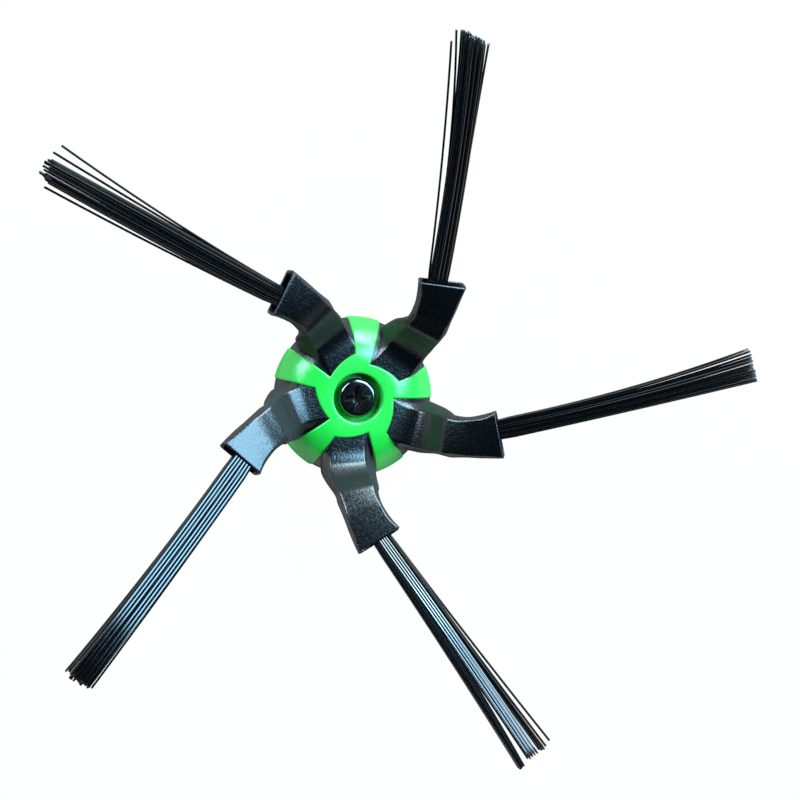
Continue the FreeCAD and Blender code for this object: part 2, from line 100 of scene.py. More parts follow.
def placed(outline: Points, origin: Points, side: Points, up: Points) -> Points:
    """Return a flat outline as x, y, z in the plane of a section."""
    return origin + np.outer(outline[:, 0], side) + np.outer(outline[:, 1], up)


def mirrored(half: list[tuple[float, float]]) -> list[tuple[float, float]]:
    """Return the corners of an outline whose left side mirrors its right one."""
    return half + [(-x, y) for x, y in reversed(half)]


def round_corners(corners: list[tuple[float, float]], radii: FloatList, steps: int) -> Points:
    """Round the corners of a closed outline.

    Args:
        corners: the outline's corners in order.
        radii: how far each rounding reaches along its two sides.
        steps: points for each corner.

    Returns:
        Rows of x, y, with the same number of points for each corner.
    """
    outline = []
    for i, corner in enumerate(corners):
        here = np.array(corner)
        ends = []
        for other in (corners[i - 1], corners[(i + 1) % len(corners)]):
            side = np.array(other) - here
            length = np.linalg.norm(side)
            ends.append(here + side * min(radii[i] / max(length, 1e-9), 0.48))
        for step in range(steps):
            u = step / (steps - 1)
            outline.append(ends[0] * (1 - u) ** 2 + here * 2 * u * (1 - u) + ends[1] * u ** 2)
    return np.array(outline)


class MeshDraft:
    """Collects closed shells and turns them into one mesh object."""

    def __init__(self) -> None:
        """Start with no points and no faces."""
        self.points: list[Points] = []
        self.faces: list[tuple[int, ...]] = []

    def add_points(self, points: Points) -> int:
        """Add points.

        Args:
            points: rows of x, y, z in millimetres.

        Returns:
            The number of the first one.
        """
        first = len(self.points)
        self.points.extend(np.asarray(points, float))
        return first

    def add_rings(self, rings: list[Points], capped: bool = True) -> None:
        """Join closed rings of equal size by quads.

        Args:
            rings: each ring's rows of x, y, z, all in the same order.
            capped: whether the first and last ring get a face.
        """
        size = len(rings[0])
        starts = [self.add_points(ring) for ring in rings]
        for a, b in zip(starts, starts[1:]):
            for i in range(size):
                j = (i + 1) % size
                self.faces.append((a + i, a + j, b + j, b + i))
        if capped:
            self.faces.append(tuple(starts[0] + i for i in reversed(range(size))))
            self.faces.append(tuple(starts[-1] + i for i in range(size)))

    def turn(self, degrees: float) -> None:
        """Turn all points about the spin axis."""
        self.points = list(turned(np.array(self.points), degrees))

    def build(self, name: str, finish: bpy.types.Material) -> bpy.types.Object:
        """Make the object, with its seams closed and its faces turned outwards.

        Args:
            name: the piece's name.
            finish: its material.

        Returns:
            The new object, in the scene.
        """
        mesh = bpy.data.meshes.new(name)
        mesh.from_pydata([tuple(p * MM) for p in self.points], [], self.faces)
        form = bmesh.new()
        form.from_mesh(mesh)
        bmesh.ops.remove_doubles(form, verts=form.verts, dist=1e-7)
        bmesh.ops.recalc_face_normals(form, faces=form.faces)
        form.to_mesh(mesh)
        form.free()
        mesh.shade_smooth()
        mesh.set_sharp_from_angle(angle=SMOOTH_ANGLE)
        mesh.materials.append(finish)
        return add_object(name, mesh)


def add_object(name: str, data: bpy.types.ID) -> bpy.types.Object:
    """Put a new object in the scene.

    Args:
        name: its name.
        data: its mesh, light or camera.

    Returns:
        The object.
    """
    new = bpy.data.objects.new(name, data)
    bpy.context.scene.collection.objects.link(new)
    return new


def solid(rings: list[Points]) -> MeshDraft:
    """Start a draft with one closed solid.

    Args:
        rings: its rings from end to end.

    Returns:
        The draft.
    """
    draft = MeshDraft()
    draft.add_rings(rings)
    return draft


class Joining(Enum):
    """How a second solid changes a piece."""

    LIMIT = "INTERSECT"
    ADD = "UNION"
    CUT = "DIFFERENCE"


def combine(piece: bpy.types.Object, tool: bpy.types.Object, joining: Joining) -> None:
    """Change a piece by a second solid, which is used up.

    Args:
        piece: the object that is changed.
        tool: the second solid.
        joining: how.
    """
    change = piece.modifiers.new("solid", "BOOLEAN")
    change.operation = joining.value
    change.solver = "MANIFOLD"
    change.object = tool
    graph = bpy.context.evaluated_depsgraph_get()
    mesh = bpy.data.meshes.new_from_object(piece.evaluated_get(graph))
    piece.modifiers.clear()
    old = piece.data
    piece.data = mesh
    bpy.data.meshes.remove(old)
    bpy.data.objects.remove(tool)
    mesh.shade_smooth()
    mesh.set_sharp_from_angle(angle=SMOOTH_ANGLE)


def seat(piece: bpy.types.Object, body: str, nodes: list[str]) -> None:
    """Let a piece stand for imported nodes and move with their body.

    Args:
        piece: the new piece.
        body: the body that it rides on.
        nodes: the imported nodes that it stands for.
    """
    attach(piece, body)
    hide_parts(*nodes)
    LOG.info("%s: %d faces", piece.name, len(piece.data.polygons))


# Finishes

class MathKind(Enum):
    """What a Math node does."""

    ADD = "ADD"
    MULTIPLY = "MULTIPLY"
    MULTIPLY_ADD = "MULTIPLY_ADD"
    POWER = "POWER"


def rgba(colour: Colour) -> tuple[float, float, float, float]:
    """Return a colour with full alpha."""
    return (*colour, 1.0)


class Sketch:
    """A node tree that is built node by node."""

    def __init__(self, tree: bpy.types.NodeTree) -> None:
        """Keep the tree and start at its left edge."""
        self.tree = tree
        self.column = 0

    def add(self, kind: str, settings: dict[str, object] | None = None,
            **inputs: object) -> bpy.types.Node:
        """Add a node.

        Args:
            kind: Blender's type name.
            settings: properties of the node itself.
            **inputs: values or sockets for its inputs, named in lower case with underscores.

        Returns:
            The new node.
        """
        node = self.tree.nodes.new(kind)
        node.location = (self.column * 200, 0)
        self.column += 1
        for key, value in (settings or {}).items():
            setattr(node, key, value)
        for key, value in inputs.items():
            self.put(value, self.find(node, key))
        return node

    def math(self, kind: MathKind, *terms: object, clamp: bool = False) -> bpy.types.NodeSocket:
        """Add a Math node.

        Args:
            kind: what it does.
            *terms: values or sockets for its inputs, in order.
            clamp: whether its result is held between 0 and 1.

        Returns:
            The result's socket.
        """
        node = self.add("ShaderNodeMath", {"operation": kind.value, "use_clamp": clamp})
        for term, socket in zip(terms, node.inputs):
            self.put(term, socket)
        return node.outputs["Value"]

    def put(self, value: object, socket: bpy.types.NodeSocket) -> None:
        """Feed an input.

        Args:
            value: a number or colour, or the socket to link.
            socket: the input.
        """
        if isinstance(value, bpy.types.NodeSocket):
            self.tree.links.new(value, socket)
        else:
            socket.default_value = value

    @staticmethod
    def find(node: bpy.types.Node, key: str) -> bpy.types.NodeSocket:
        """Look up an input.

        Args:
            node: the node.
            key: the input's name in lower case with underscores.

        Returns:
            The enabled input of that name.
        """
        for socket in node.inputs:
            if socket.enabled and socket.name.lower().replace(" ", "_") == key:
                return socket
        raise KeyError(f"{node.bl_idname} has no input {key}")


def blank_material(name: str) -> tuple[bpy.types.Material, Sketch]:
    """Make a material with an empty node tree.

    Args:
        name: its name.

    Returns:
        The material and a sketch of its tree.
    """
    material = bpy.data.materials.new(name)
    material.use_nodes = True
    material.node_tree.nodes.clear()
    return material, Sketch(material.node_tree)


class GroupKind(Enum):
    """Shader groups that several finishes share."""

    GRAIN = "surface_grain"
    MOTTLE = "colour_mottle"
    WEAR = "rubbed_edges"


class SharedGroups:
    """Builds each shared shader group once."""

    def __init__(self) -> None:
        """Build all groups."""
        self.trees = {
            GroupKind.GRAIN: self.grain(),
            GroupKind.MOTTLE: self.mottle(),
            GroupKind.WEAR: self.wear(),
        }

    @staticmethod
    def start(kind: GroupKind, inputs: dict[str, tuple[str, object]],
              outputs: dict[str, str]) -> tuple[Sketch, bpy.types.Node, bpy.types.Node]:
        """Make an empty group with named sockets.

        Args:
            kind: which group.
            inputs: socket type and default for each input's name.
            outputs: socket type for each output's name.

        Returns:
            A sketch of the group and its input and output nodes.
        """
        tree = bpy.data.node_groups.new(kind.value, "ShaderNodeTree")
        for name, (socket_type, default) in inputs.items():
            socket = tree.interface.new_socket(name=name, in_out="INPUT", socket_type=socket_type)
            socket.default_value = default
        for name, socket_type in outputs.items():
            tree.interface.new_socket(name=name, in_out="OUTPUT", socket_type=socket_type)
        sketch = Sketch(tree)
        return sketch, sketch.add("NodeGroupInput"), sketch.add("NodeGroupOutput")

    def grain(self) -> bpy.types.NodeTree:
        """Build the fine leather-like grain: rounded cells broken up by noise.

        Returns:
            The group, which gives a height and a mask.
        """
        sketch, given, result = self.start(
            GroupKind.GRAIN,
            {"Scale": ("NodeSocketFloat", 3000.0), "Break Up": ("NodeSocketFloat", 0.5)},
            {"Height": "NodeSocketFloat", "Mask": "NodeSocketFloat"},
        )
        place = sketch.add("ShaderNodeTexCoord")
        cells = sketch.add("ShaderNodeTexVoronoi", {"feature": "SMOOTH_F1"},
                           vector=place.outputs["Object"], scale=given.outputs["Scale"],
                           smoothness=0.6)
        noise = sketch.add("ShaderNodeTexNoise", vector=place.outputs["Object"],
                           scale=given.outputs["Scale"], detail=3.0)
        both = sketch.add("ShaderNodeMix", {"data_type": "FLOAT"},
                          factor=given.outputs["Break Up"], a=cells.outputs["Distance"],
                          b=noise.outputs["Fac"])
        mask = sketch.add("ShaderNodeMapRange", value=both.outputs["Result"],
                          from_min=0.35, from_max=0.65)
        raised = sketch.add("ShaderNodeMapRange", {"interpolation_type": "SMOOTHSTEP"},
                            value=both.outputs["Result"], from_min=0.42, from_max=0.66)
        sketch.put(raised.outputs["Result"], result.inputs["Height"])
        sketch.put(mask.outputs["Result"], result.inputs["Mask"])
        return sketch.tree

    def mottle(self) -> bpy.types.NodeTree:
        """Build the slow drift of colour and gloss over a moulding.

        Returns:
            The group, which gives a colour and a roughness.
        """
        sketch, given, result = self.start(
            GroupKind.MOTTLE,
            {"Colour": ("NodeSocketColor", (0.5, 0.5, 0.5, 1.0)),
             "Second Colour": ("NodeSocketColor", (0.4, 0.4, 0.4, 1.0)),
             "Scale": ("NodeSocketFloat", 120.0),
             "Roughness": ("NodeSocketFloat", 0.3), "Spread": ("NodeSocketFloat", 0.05)},
            {"Colour": "NodeSocketColor", "Roughness": "NodeSocketFloat"},
        )
        place = sketch.add("ShaderNodeTexCoord")
        noise = sketch.add("ShaderNodeTexNoise", vector=place.outputs["Object"],
                           scale=given.outputs["Scale"], detail=4.0)
        mix = sketch.add("ShaderNodeMix", {"data_type": "RGBA"}, factor=noise.outputs["Fac"],
                         a=given.outputs["Colour"], b=given.outputs["Second Colour"])
        drift = sketch.math(MathKind.MULTIPLY_ADD, noise.outputs["Fac"],
                            given.outputs["Spread"], given.outputs["Roughness"])
        sketch.put(mix.outputs["Result"], result.inputs["Colour"])
        sketch.put(drift, result.inputs["Roughness"])
        return sketch.tree

    def wear(self) -> bpy.types.NodeTree:
        """Build the lighter colour of edges: partly rubbed wear, partly a painted highlight along
        them.

        Returns:
            The group, which gives a colour.
        """
        sketch, given, result = self.start(
            GroupKind.WEAR,
            {"Colour": ("NodeSocketColor", (0.5, 0.5, 0.5, 1.0)),
             "Worn Colour": ("NodeSocketColor", (0.8, 0.8, 0.8, 1.0)),
             "Amount": ("NodeSocketFloat", 0.5)},
            {"Colour": "NodeSocketColor"},
        )
        shape = sketch.add("ShaderNodeNewGeometry")
        place = sketch.add("ShaderNodeTexCoord")
        noise = sketch.add("ShaderNodeTexNoise", vector=place.outputs["Object"], scale=900.0,
                           detail=3.0)
        # Pointiness finds the edges; the lighter colour laid on them is partly wear and partly a
        # painted highlight.
        edge = sketch.add("ShaderNodeMapRange", value=shape.outputs["Pointiness"],
                          from_min=0.52, from_max=0.62)
        worn_and_lit_edge = sketch.math(MathKind.MULTIPLY, edge.outputs["Result"], noise.outputs["Fac"])
        share = sketch.math(MathKind.MULTIPLY, worn_and_lit_edge, given.outputs["Amount"])
        mix = sketch.add("ShaderNodeMix", {"data_type": "RGBA"}, factor=share,
                         a=given.outputs["Colour"], b=given.outputs["Worn Colour"])
        sketch.put(mix.outputs["Result"], result.inputs["Colour"])
        return sketch.tree


@dataclass(frozen=True)
class Finish:
    """A moulded surface: two close colours, gloss, grain, and lighter edges that are partly rubbed
    wear and partly painted highlight.

    The scales of mottle and grain are to a metre, and the grain's depth is in millimetres.
    Grazing dullness is how much rougher the surface is where it is seen edge on.
    """

    name: str
    colour: Colour
    second_colour: Colour
    worn_colour: Colour
    wear: float
    roughness: float
    roughness_spread: float
    specular: float
    ior: float
    mottle_scale: float
    grain_scale: float
    grain_break_up: float
    grain_depth: float
    grain_gloss: float
    grazing_dullness: float

    def material(self, groups: SharedGroups) -> bpy.types.Material:
        """Build the material.

        Args:
            groups: the shared shader groups.

        Returns:
            The new material.
        """
        material, sketch = blank_material(self.name)
        mottle = sketch.add("ShaderNodeGroup", {"node_tree": groups.trees[GroupKind.MOTTLE]},
                            colour=rgba(self.colour), second_colour=rgba(self.second_colour),
                            scale=self.mottle_scale, roughness=self.roughness,
                            spread=self.roughness_spread)
        wear = sketch.add("ShaderNodeGroup", {"node_tree": groups.trees[GroupKind.WEAR]},
                          colour=mottle.outputs["Colour"], worn_colour=rgba(self.worn_colour),
                          amount=self.wear)
        grain = sketch.add("ShaderNodeGroup", {"node_tree": groups.trees[GroupKind.GRAIN]},
                           scale=self.grain_scale, break_up=self.grain_break_up)
        gloss = sketch.math(MathKind.MULTIPLY_ADD, grain.outputs["Mask"], self.grain_gloss,
                            mottle.outputs["Roughness"])
        facing = sketch.add("ShaderNodeLayerWeight", blend=0.5)
        grazing = sketch.math(MathKind.POWER, facing.outputs["Facing"], 2.0)
        dull = sketch.math(MathKind.MULTIPLY_ADD, grazing, self.grazing_dullness, gloss,
                           clamp=True)
        bump = sketch.add("ShaderNodeBump", height=grain.outputs["Height"],
                          distance=self.grain_depth * MM, strength=1.0)
        shader = sketch.add("ShaderNodeBsdfPrincipled", {"distribution": "GGX"},
                            base_color=wear.outputs["Colour"], roughness=dull,
                            normal=bump.outputs["Normal"],
                            specular_ior_level=self.specular, ior=self.ior)
        sketch.add("ShaderNodeOutputMaterial", surface=shader.outputs["BSDF"])
        return material


# The hub's pale green edge colour is a painted highlight along its edges.
GREEN_PLASTIC = Finish(
    "green_plastic", colour=(0.018, 0.58, 0.050), second_colour=(0.016, 0.54, 0.045),
    worn_colour=(0.30, 0.95, 0.40), wear=0.12, roughness=0.20, roughness_spread=0.06,
    specular=1.0, ior=1.5, mottle_scale=160.0, grain_scale=700.0, grain_break_up=0.9,
    grain_depth=0.008, grain_gloss=0.03, grazing_dullness=1.2)
SATIN_RUBBER = Finish(
    "satin_rubber", colour=(0.0003, 0.0008, 0.0012), second_colour=(0.0008, 0.0014, 0.0020),
    worn_colour=(0.008, 0.012, 0.016), wear=0.4, roughness=0.18, roughness_spread=0.06,
    specular=0.8, ior=1.5, mottle_scale=260.0, grain_scale=2600.0, grain_break_up=0.6,
    grain_depth=0.010, grain_gloss=0.08, grazing_dullness=1.3)
BLACK_NYLON = Finish(
    "black_nylon", colour=(0.0003, 0.0006, 0.0010), second_colour=(0.0008, 0.001, 0.0014),
    worn_colour=(0.006, 0.006, 0.010), wear=0.2, roughness=0.08, roughness_spread=0.05,
    specular=1.0, ior=1.5, mottle_scale=400.0, grain_scale=1500.0, grain_break_up=0.8,
    grain_depth=0.0, grain_gloss=0.02, grazing_dullness=1.2)
BLACKENED_STEEL = Finish(
    "blackened_steel", colour=(0.001, 0.001, 0.0014), second_colour=(0.003, 0.003, 0.0035),
    worn_colour=(0.10, 0.105, 0.11), wear=0.3, roughness=0.08, roughness_spread=0.05,
    specular=1.0, ior=1.8, mottle_scale=500.0, grain_scale=2600.0, grain_break_up=0.7,
    grain_depth=0.0015, grain_gloss=0.03, grazing_dullness=0.3)


# Hub

@dataclass
class HubMoulding:
    """The green hub, laid out as columns of points about the spin axis.

    Angles are from the centre line of a window, so that one window and the lobe after it repeat.
    """

    radius: float = 14.0
    rim_z: float = 2.6
    widest_z: float = 5.2
    crown_z: float = 9.6
    ring_radius: float = 6.2
    skirt_draft: float = -0.1
    shell: float = 1.6
    boss_radius: float = 5.9
    counterbore_radius: float = 4.3
    seat_z: float = 6.7
    socket_top_z: float = 5.3
    neck_radius: float = 1.6
    socket_half: float = 3.2
    socket_corner: float = 0.6
    window_half_angle: float = 24.2
    notch_outer: float = 7.9
    notch_inner: float = 6.25
    notch_bulge: float = 0.45
    first_window: float = 47.1
    windows: int = 5
    edge_round: float = 0.30
    crown_round: float = 0.35
    widest_round: float = 0.5
    foot_round: float = 0.25
    rib_width: float = 1.2
    rib_foot_z: float = 3.1
    tie_top_z: float = 3.7
    tie_outer: float = 12.95
    tie_inner: float = 12.15
    window_spans: int = 40
    lobe_spans: int = 22
    skirt_spans: int = 8
    round_spans: int = 6
    tie_spans: int = 160
    rib_spans: int = 8
    rib_sink: float = 0.1
    rib_bite: float = 0.35
    edge_points: int = 500
    boss_rows: tuple[float, ...] = (4.0, 1.0)
    bore_rows: tuple[float, ...] = (7.6, 8.6)
    hidden_round: float = 0.2
    hidden_nick: float = 0.06
    socket_nick: float = 0.05
    lobe_edge: tuple[float, ...] = (0.0, 0.12, 0.3, 0.55, 0.9, 1.35, 1.9, 2.7, 4.0, 6.0, 8.8)
    crown_gaps: tuple[float, ...] = (0.7, 0.45, 0.32, 0.24, 0.17, 0.11, 0.06, 0.02, 0.0)

    def __post_init__(self) -> None:
        """Work out the dome's arc and the notch's arc."""
        run = self.radius - self.ring_radius
        rise = self.crown_z - self.widest_z
        self.dome_radius = (run ** 2 + rise ** 2) / (2 * rise)
        self.dome_centre_z = self.crown_z - self.dome_radius
        self.sweep = math.asin(run / self.dome_radius)
        low = polar(self.notch_outer, -self.window_half_angle)
        high = polar(self.notch_inner, self.window_half_angle)
        chord = high - low
        outward = np.array([chord[1], -chord[0]]) / np.linalg.norm(chord)
        half = np.linalg.norm(chord) / 2
        self.notch_radius = (half ** 2 + self.notch_bulge ** 2) / (2 * self.notch_bulge)
        self.notch_centre = (low + high) / 2 + outward * (self.notch_bulge - self.notch_radius)

    @property
    def pitch(self) -> float:
        """Angle from one window to the next."""
        return 360.0 / self.windows

    def notch(self, degrees: float) -> float:
        """Find a window's inner edge.

        Args:
            degrees: angle from the window's centre line.

        Returns:
            The edge's radius there.
        """
        along = float(polar(1.0, degrees) @ self.notch_centre)
        square = along ** 2 - float(self.notch_centre @ self.notch_centre) + self.notch_radius ** 2
        return along + math.sqrt(square)

    def root(self, degrees: float) -> float:
        """Find where crown and lobes part.

        Args:
            degrees: angle from a window's centre line, up to a pitch.

        Returns:
            The radius there.
        """
        half = self.window_half_angle
        if degrees <= half:
            return self.notch(degrees)
        share = (degrees - half) / (self.pitch - 2 * half)
        return blend(self.notch_inner, self.notch_outer, share)

    def dome_angle(self, radius: float) -> float:
        """Return the slope of the outer face at a radius, in radians."""
        run = max(radius - self.ring_radius, 0.0)
        return math.asin(min(run / self.dome_radius, math.sin(self.sweep)))

    def dome_point(self, angle: float, inset: float = 0.0) -> Points:
        """Return the point of the dome's arc with a slope, at a distance inside it."""
        reach = self.dome_radius - inset
        return np.array([self.ring_radius + reach * math.sin(angle),
                         self.dome_centre_z + reach * math.cos(angle)])

    def columns(self) -> FloatList:
        """Lay out the columns of one window and one lobe, closer together at the lobe's edges.

        Returns:
            Their angles from the window's centre line.
        """
        edge = self.lobe_edge
        half = self.window_half_angle
        lobe = self.pitch - 2 * half
        window = [-half + 2 * half * i / self.window_spans for i in range(self.window_spans)]
        return (window + [half + e for e in edge] + [half + lobe / 2]
                + [half + lobe - e for e in reversed(edge[1:])])

    def edge_samples(self) -> KDTree:
        """Lay points along the edges of all windows.

        Returns:
            A search tree of the points.
        """
        half = self.window_half_angle
        plan = []
        for i in range(self.edge_points):
            share = i / (self.edge_points - 1)
            angle = -half + 2 * half * share
            plan.append(polar(self.notch(angle), angle))
            plan.append(polar(blend(self.notch_outer, self.radius, share), -half))
            plan.append(polar(blend(self.notch_inner, self.radius, share), half))
        flat = np.array([[*p, 0.0] for p in plan])
        tree = KDTree(len(flat) * self.windows)
        for index in range(self.windows):
            for i, point in enumerate(turned(flat, index * self.pitch)):
                tree.insert(point, index * len(flat) + i)
        tree.balance()
        return tree

    def soften(self, line: list[Points], angle: float, tree: KDTree) -> list[Points]:
        """Draw an outer line inwards where it runs near the edge of a window.

        Args:
            line: points of radius and height, outwards and down.
            angle: the line's angle about the spin axis.
            tree: points along the windows' edges.

        Returns:
            The line with the rounding of the edges.
        """
        moved = []
        for k, point in enumerate(line):
            way = line[min(k + 1, len(line) - 1)] - line[max(k - 1, 0)]
            normal = np.array([-way[1], way[0]]) / max(np.linalg.norm(way), 1e-9)
            place = polar(point[0], angle)
            distance = tree.find((place[0], place[1], 0.0))[2]
            near = max(self.edge_round - distance, 0.0)
            drop = self.edge_round - math.sqrt(self.edge_round ** 2 - near ** 2)
            moved.append(point - normal * drop)
        return moved

    def crown_line(self, degrees: float) -> list[Points]:
        """Draw the crown.

        Args:
            degrees: angle from the window's centre line.

        Returns:
            Points of radius and height from the counterbore to the root.
        """
        start = self.counterbore_radius
        line = []
        for i in range(self.round_spans + 1):
            angle = math.pi / 2 * i / self.round_spans
            line.append(np.array([start + self.crown_round * (1 - math.cos(angle)),
                                  self.crown_z - self.crown_round * (1 - math.sin(angle))]))
        first = start + self.crown_round
        last = self.root(degrees)
        for gap in self.crown_gaps:
            radius = last - gap * (last - first)
            line.append(self.dome_point(self.dome_angle(radius)) if radius > self.ring_radius
                        else np.array([radius, self.crown_z]))
        return line

    def lobe_line(self, degrees: float) -> list[Points]:
        """Draw a lobe's outside.

        Args:
            degrees: angle from the window's centre line.

        Returns:
            Points of radius and height from the root over the widest line to the foot.
        """
        start = self.dome_angle(self.root(degrees))
        end = self.sweep - self.widest_round / self.dome_radius
        line = [self.dome_point(blend(start, end, i / self.lobe_spans))
                for i in range(1, self.lobe_spans + 1)]
        widest = np.array([self.radius, self.widest_z])
        foot = np.array([self.radius - self.skirt_draft, self.rim_z])
        down = (foot - widest) / np.linalg.norm(foot - widest)
        below = widest + down * self.widest_round
        line += self.curve(line[-1], widest, below)
        above = foot - down * self.foot_round
        line += [below + (above - below) * share for share in (0.3, 0.6, 0.85, 1.0)]
        line += self.curve(above, foot, foot - np.array([self.foot_round, 0.0]))
        return line

    @staticmethod
    def curve(start: Points, corner: Points, end: Points) -> list[Points]:
        """Return the points of a rounded corner, without its start."""
        return [start * (1 - u) ** 2 + corner * 2 * u * (1 - u) + end * u ** 2
                for u in (0.25, 0.5, 0.75, 1.0)]

    def inner_line(self, degrees: float) -> list[Points]:
        """Draw a lobe's inside, with one point for each point of its outside.

        Args:
            degrees: angle from the window's centre line.

        Returns:
            Points of radius and height from the root to the foot.
        """
        start = self.dome_angle(self.root(degrees))
        line = [self.dome_point(blend(start, self.sweep, i / self.lobe_spans), self.shell)
                for i in range(1, self.lobe_spans + 1)]
        top = line[-1]
        foot = np.array([self.radius - self.skirt_draft - self.shell, self.rim_z])
        rounded = foot + np.array([self.foot_round, 0.0])
        above = foot + (top - foot) * (self.foot_round / np.linalg.norm(top - foot))
        line += [top + (above - top) * i / self.skirt_spans
                 for i in range(1, self.skirt_spans + 1)]
        line += self.curve(above, foot, rounded)
        return line

    def socket(self, degrees: float) -> float:
        """Find the square socket's outline.

        Args:
            degrees: angle from +X.

        Returns:
            The outline's radius there.
        """
        ray = np.abs(polar(1.0, degrees))
        reach = self.socket_half / ray.max()
        inner = self.socket_half - self.socket_corner
        if reach * ray.min() > inner:
            along = float(ray @ np.array([inner, inner]))
            return along + math.sqrt(along ** 2 - 2 * inner ** 2 + self.socket_corner ** 2)
        return reach

    def core_line(self, degrees: float, world: float) -> list[Points]:
        """Draw the hidden line over the boss and through the socket.

        Args:
            degrees: angle from the window's centre line.
            world: angle from +X, for the square socket.

        Returns:
            Points of radius and height from a lobe's inner root to the counterbore's wall.
        """
        root = self.dome_point(self.dome_angle(self.root(degrees)), self.shell)
        boss = self.boss_radius
        edge, nick = self.hidden_round, self.hidden_nick
        line = [root] + [np.array([boss, z]) for z in (root[1], *self.boss_rows, edge)]
        line += [np.array([boss - nick, nick]), np.array([boss - edge, 0.0])]
        square = self.socket(world)
        line += [np.array([square + edge, 0.0]), np.array([square + self.socket_nick, nick]),
                 np.array([square, edge]), np.array([square, self.socket_top_z])]
        line += [np.array([self.neck_radius, z]) for z in (self.socket_top_z, self.seat_z)]
        line += [np.array([self.counterbore_radius, z]) for z in (self.seat_z, *self.bore_rows)]
        return line

    def moulding(self, draft: MeshDraft) -> None:
        """Add the dome with its windows, counterbore, socket and boss.

        Args:
            draft: the hub's draft.
        """
        tree = self.edge_samples()
        grid = []
        for index in range(self.windows):
            for degrees in self.columns():
                angle = degrees + index * self.pitch
                core = self.core_line(degrees, angle + self.first_window)
                crown = self.crown_line(degrees)
                lobe = self.lobe_line(degrees)
                outer = self.soften(crown + lobe, angle, tree)
                inner = list(reversed(self.inner_line(degrees)))
                grid.append(draft.add_points(upright(core + outer + inner, angle)))
        count = len(self.columns())
        loop = len(core) + len(outer) + len(inner)
        root = len(core) + len(crown) - 1
        middle = len(core) + len(outer)
        for i, near in enumerate(grid):
            far = grid[(i + 1) % len(grid)]
            in_window = i % count < self.window_spans
            for k in range(root if in_window else loop):
                n = (k + 1) % loop
                draft.faces.append((near + k, far + k, far + n, near + n))
            if in_window:
                draft.faces.append((near + root, far + root, far, near))
            if i % count in (0, self.window_spans):
                for k in range(root, middle - 1):
                    low = (2 * middle - k - 1) if k > root else loop
                    draft.faces.append((near + k, near + k + 1,
                                        near + 2 * middle - k - 2, near + low % loop))

    def tie_ring(self, draft: MeshDraft) -> None:
        """Add the closed ring below the windows.

        Args:
            draft: the hub's draft.
        """
        low = self.rim_z + FIT_GAP
        inner = self.tie_inner + FIT_GAP
        outline = [(inner, low), (self.tie_outer, low), (self.tie_outer, self.tie_top_z),
                   (inner, self.tie_top_z)]
        draft.add_rings([upright(outline, 360.0 * i / self.tie_spans)
                         for i in range(self.tie_spans + 1)], capped=False)

    def ribs(self, draft: MeshDraft) -> None:
        """Add the ribs between boss and skirt, one below each lobe.

        Args:
            draft: the hub's draft.
        """
        half = self.rib_width / 2
        reach = self.dome_radius - self.shell
        for index in range(self.windows):
            rings = []
            for i in range(self.rib_spans + 1):
                radius = blend(self.boss_radius - self.rib_sink,
                               self.tie_inner + self.rib_bite, i / self.rib_spans)
                run = max(radius - self.ring_radius, 0.0)
                top = self.dome_centre_z + math.sqrt(reach ** 2 - run ** 2) + self.rib_sink
                foot = self.rib_foot_z
                rings.append(np.array([[radius, -half, foot], [radius, half, foot],
                                       [radius, half, top], [radius, -half, top]]))
            turn = self.pitch / 2 + index * self.pitch
            draft.add_rings([turned(ring, turn) for ring in rings])

    def build(self, finish: bpy.types.Material) -> bpy.types.Object:
        """Build the hub.

        Args:
            finish: the hub's material.

        Returns:
            The piece.
        """
        draft = MeshDraft()
        self.moulding(draft)
        self.tie_ring(draft)
        self.ribs(draft)
        draft.turn(self.first_window)
        return draft.build("hub_moulding", finish)


# Arms

@dataclass
class ArmPath:
    """Centre line of an arm in plan, a quadratic curve about the window's centre line.

    The mouth's set is how far it has turned in use, in degrees.
    """

    mouth_set: float
    start_radius: float = 5.4
    start_angle: float = -9.5
    start_heading: float = -1.4
    mouth_radius: float = 23.5
    mouth_angle: float = 11.2
    mouth_heading: float = 37.4
    heading_per_set: float = 1.5
    measures: int = 40

    def __post_init__(self) -> None:
        """Lay out the curve."""
        self.start = polar(self.start_radius, self.start_angle)
        self.end = polar(self.mouth_radius, self.mouth_angle + self.mouth_set)
        out = polar(1.0, self.start_heading)
        back = polar(1.0, self.mouth_heading + self.mouth_set * self.heading_per_set)
        gap = self.end - self.start
        cross = out[0] * back[1] - out[1] * back[0]
        self.knee = self.start + out * ((gap[0] * back[1] - gap[1] * back[0]) / cross)

    def point(self, t: float) -> Points:
        """Return the plan point at a share of the curve."""
        return self.start * (1 - t) ** 2 + self.knee * (2 * t * (1 - t)) + self.end * t ** 2

    def direction(self, t: float) -> Points:
        """Return the unit direction at a share of the curve."""
        slope = (self.knee - self.start) * (1 - t) + (self.end - self.knee) * t
        return slope / np.linalg.norm(slope)

    def at_radius(self, radius: float) -> float:
        """Find where the curve crosses a circle about the spin axis.

        Args:
            radius: the circle's radius.

        Returns:
            The share of the curve up to there.
        """
        low, high = 0.0, 1.0
        for _ in range(self.measures):
            mid = (low + high) / 2
            if np.linalg.norm(self.point(mid)) < radius:
                low = mid
            else:
                high = mid
        return low

    def length(self, start: float, end: float) -> float:
        """Return the distance along the curve between two shares of it."""
        points = np.array([self.point(start + (end - start) * i / self.measures)
                           for i in range(self.measures + 1)])
        return float(np.linalg.norm(np.diff(points, axis=0), axis=1).sum())

    def frame(self, t: float, z: float, lean: float) -> tuple[Points, Points, Points, Points]:
        """Return origin, side, up and forward axes of a section.

        Args:
            t: share of the curve.
            z: height of the top face.
            lean: how far the section leans back, in radians.

        Returns:
            Four vectors of x, y, z.
        """
        forward = np.array([*self.direction(t), 0.0])
        side = np.array([forward[1], -forward[0], 0.0])
        rise = np.array([0.0, 0.0, 1.0])
        up = rise * math.cos(lean) - forward * math.sin(lean)
        along = forward * math.cos(lean) + rise * math.sin(lean)
        return np.array([*self.point(t), z]), side, up, along


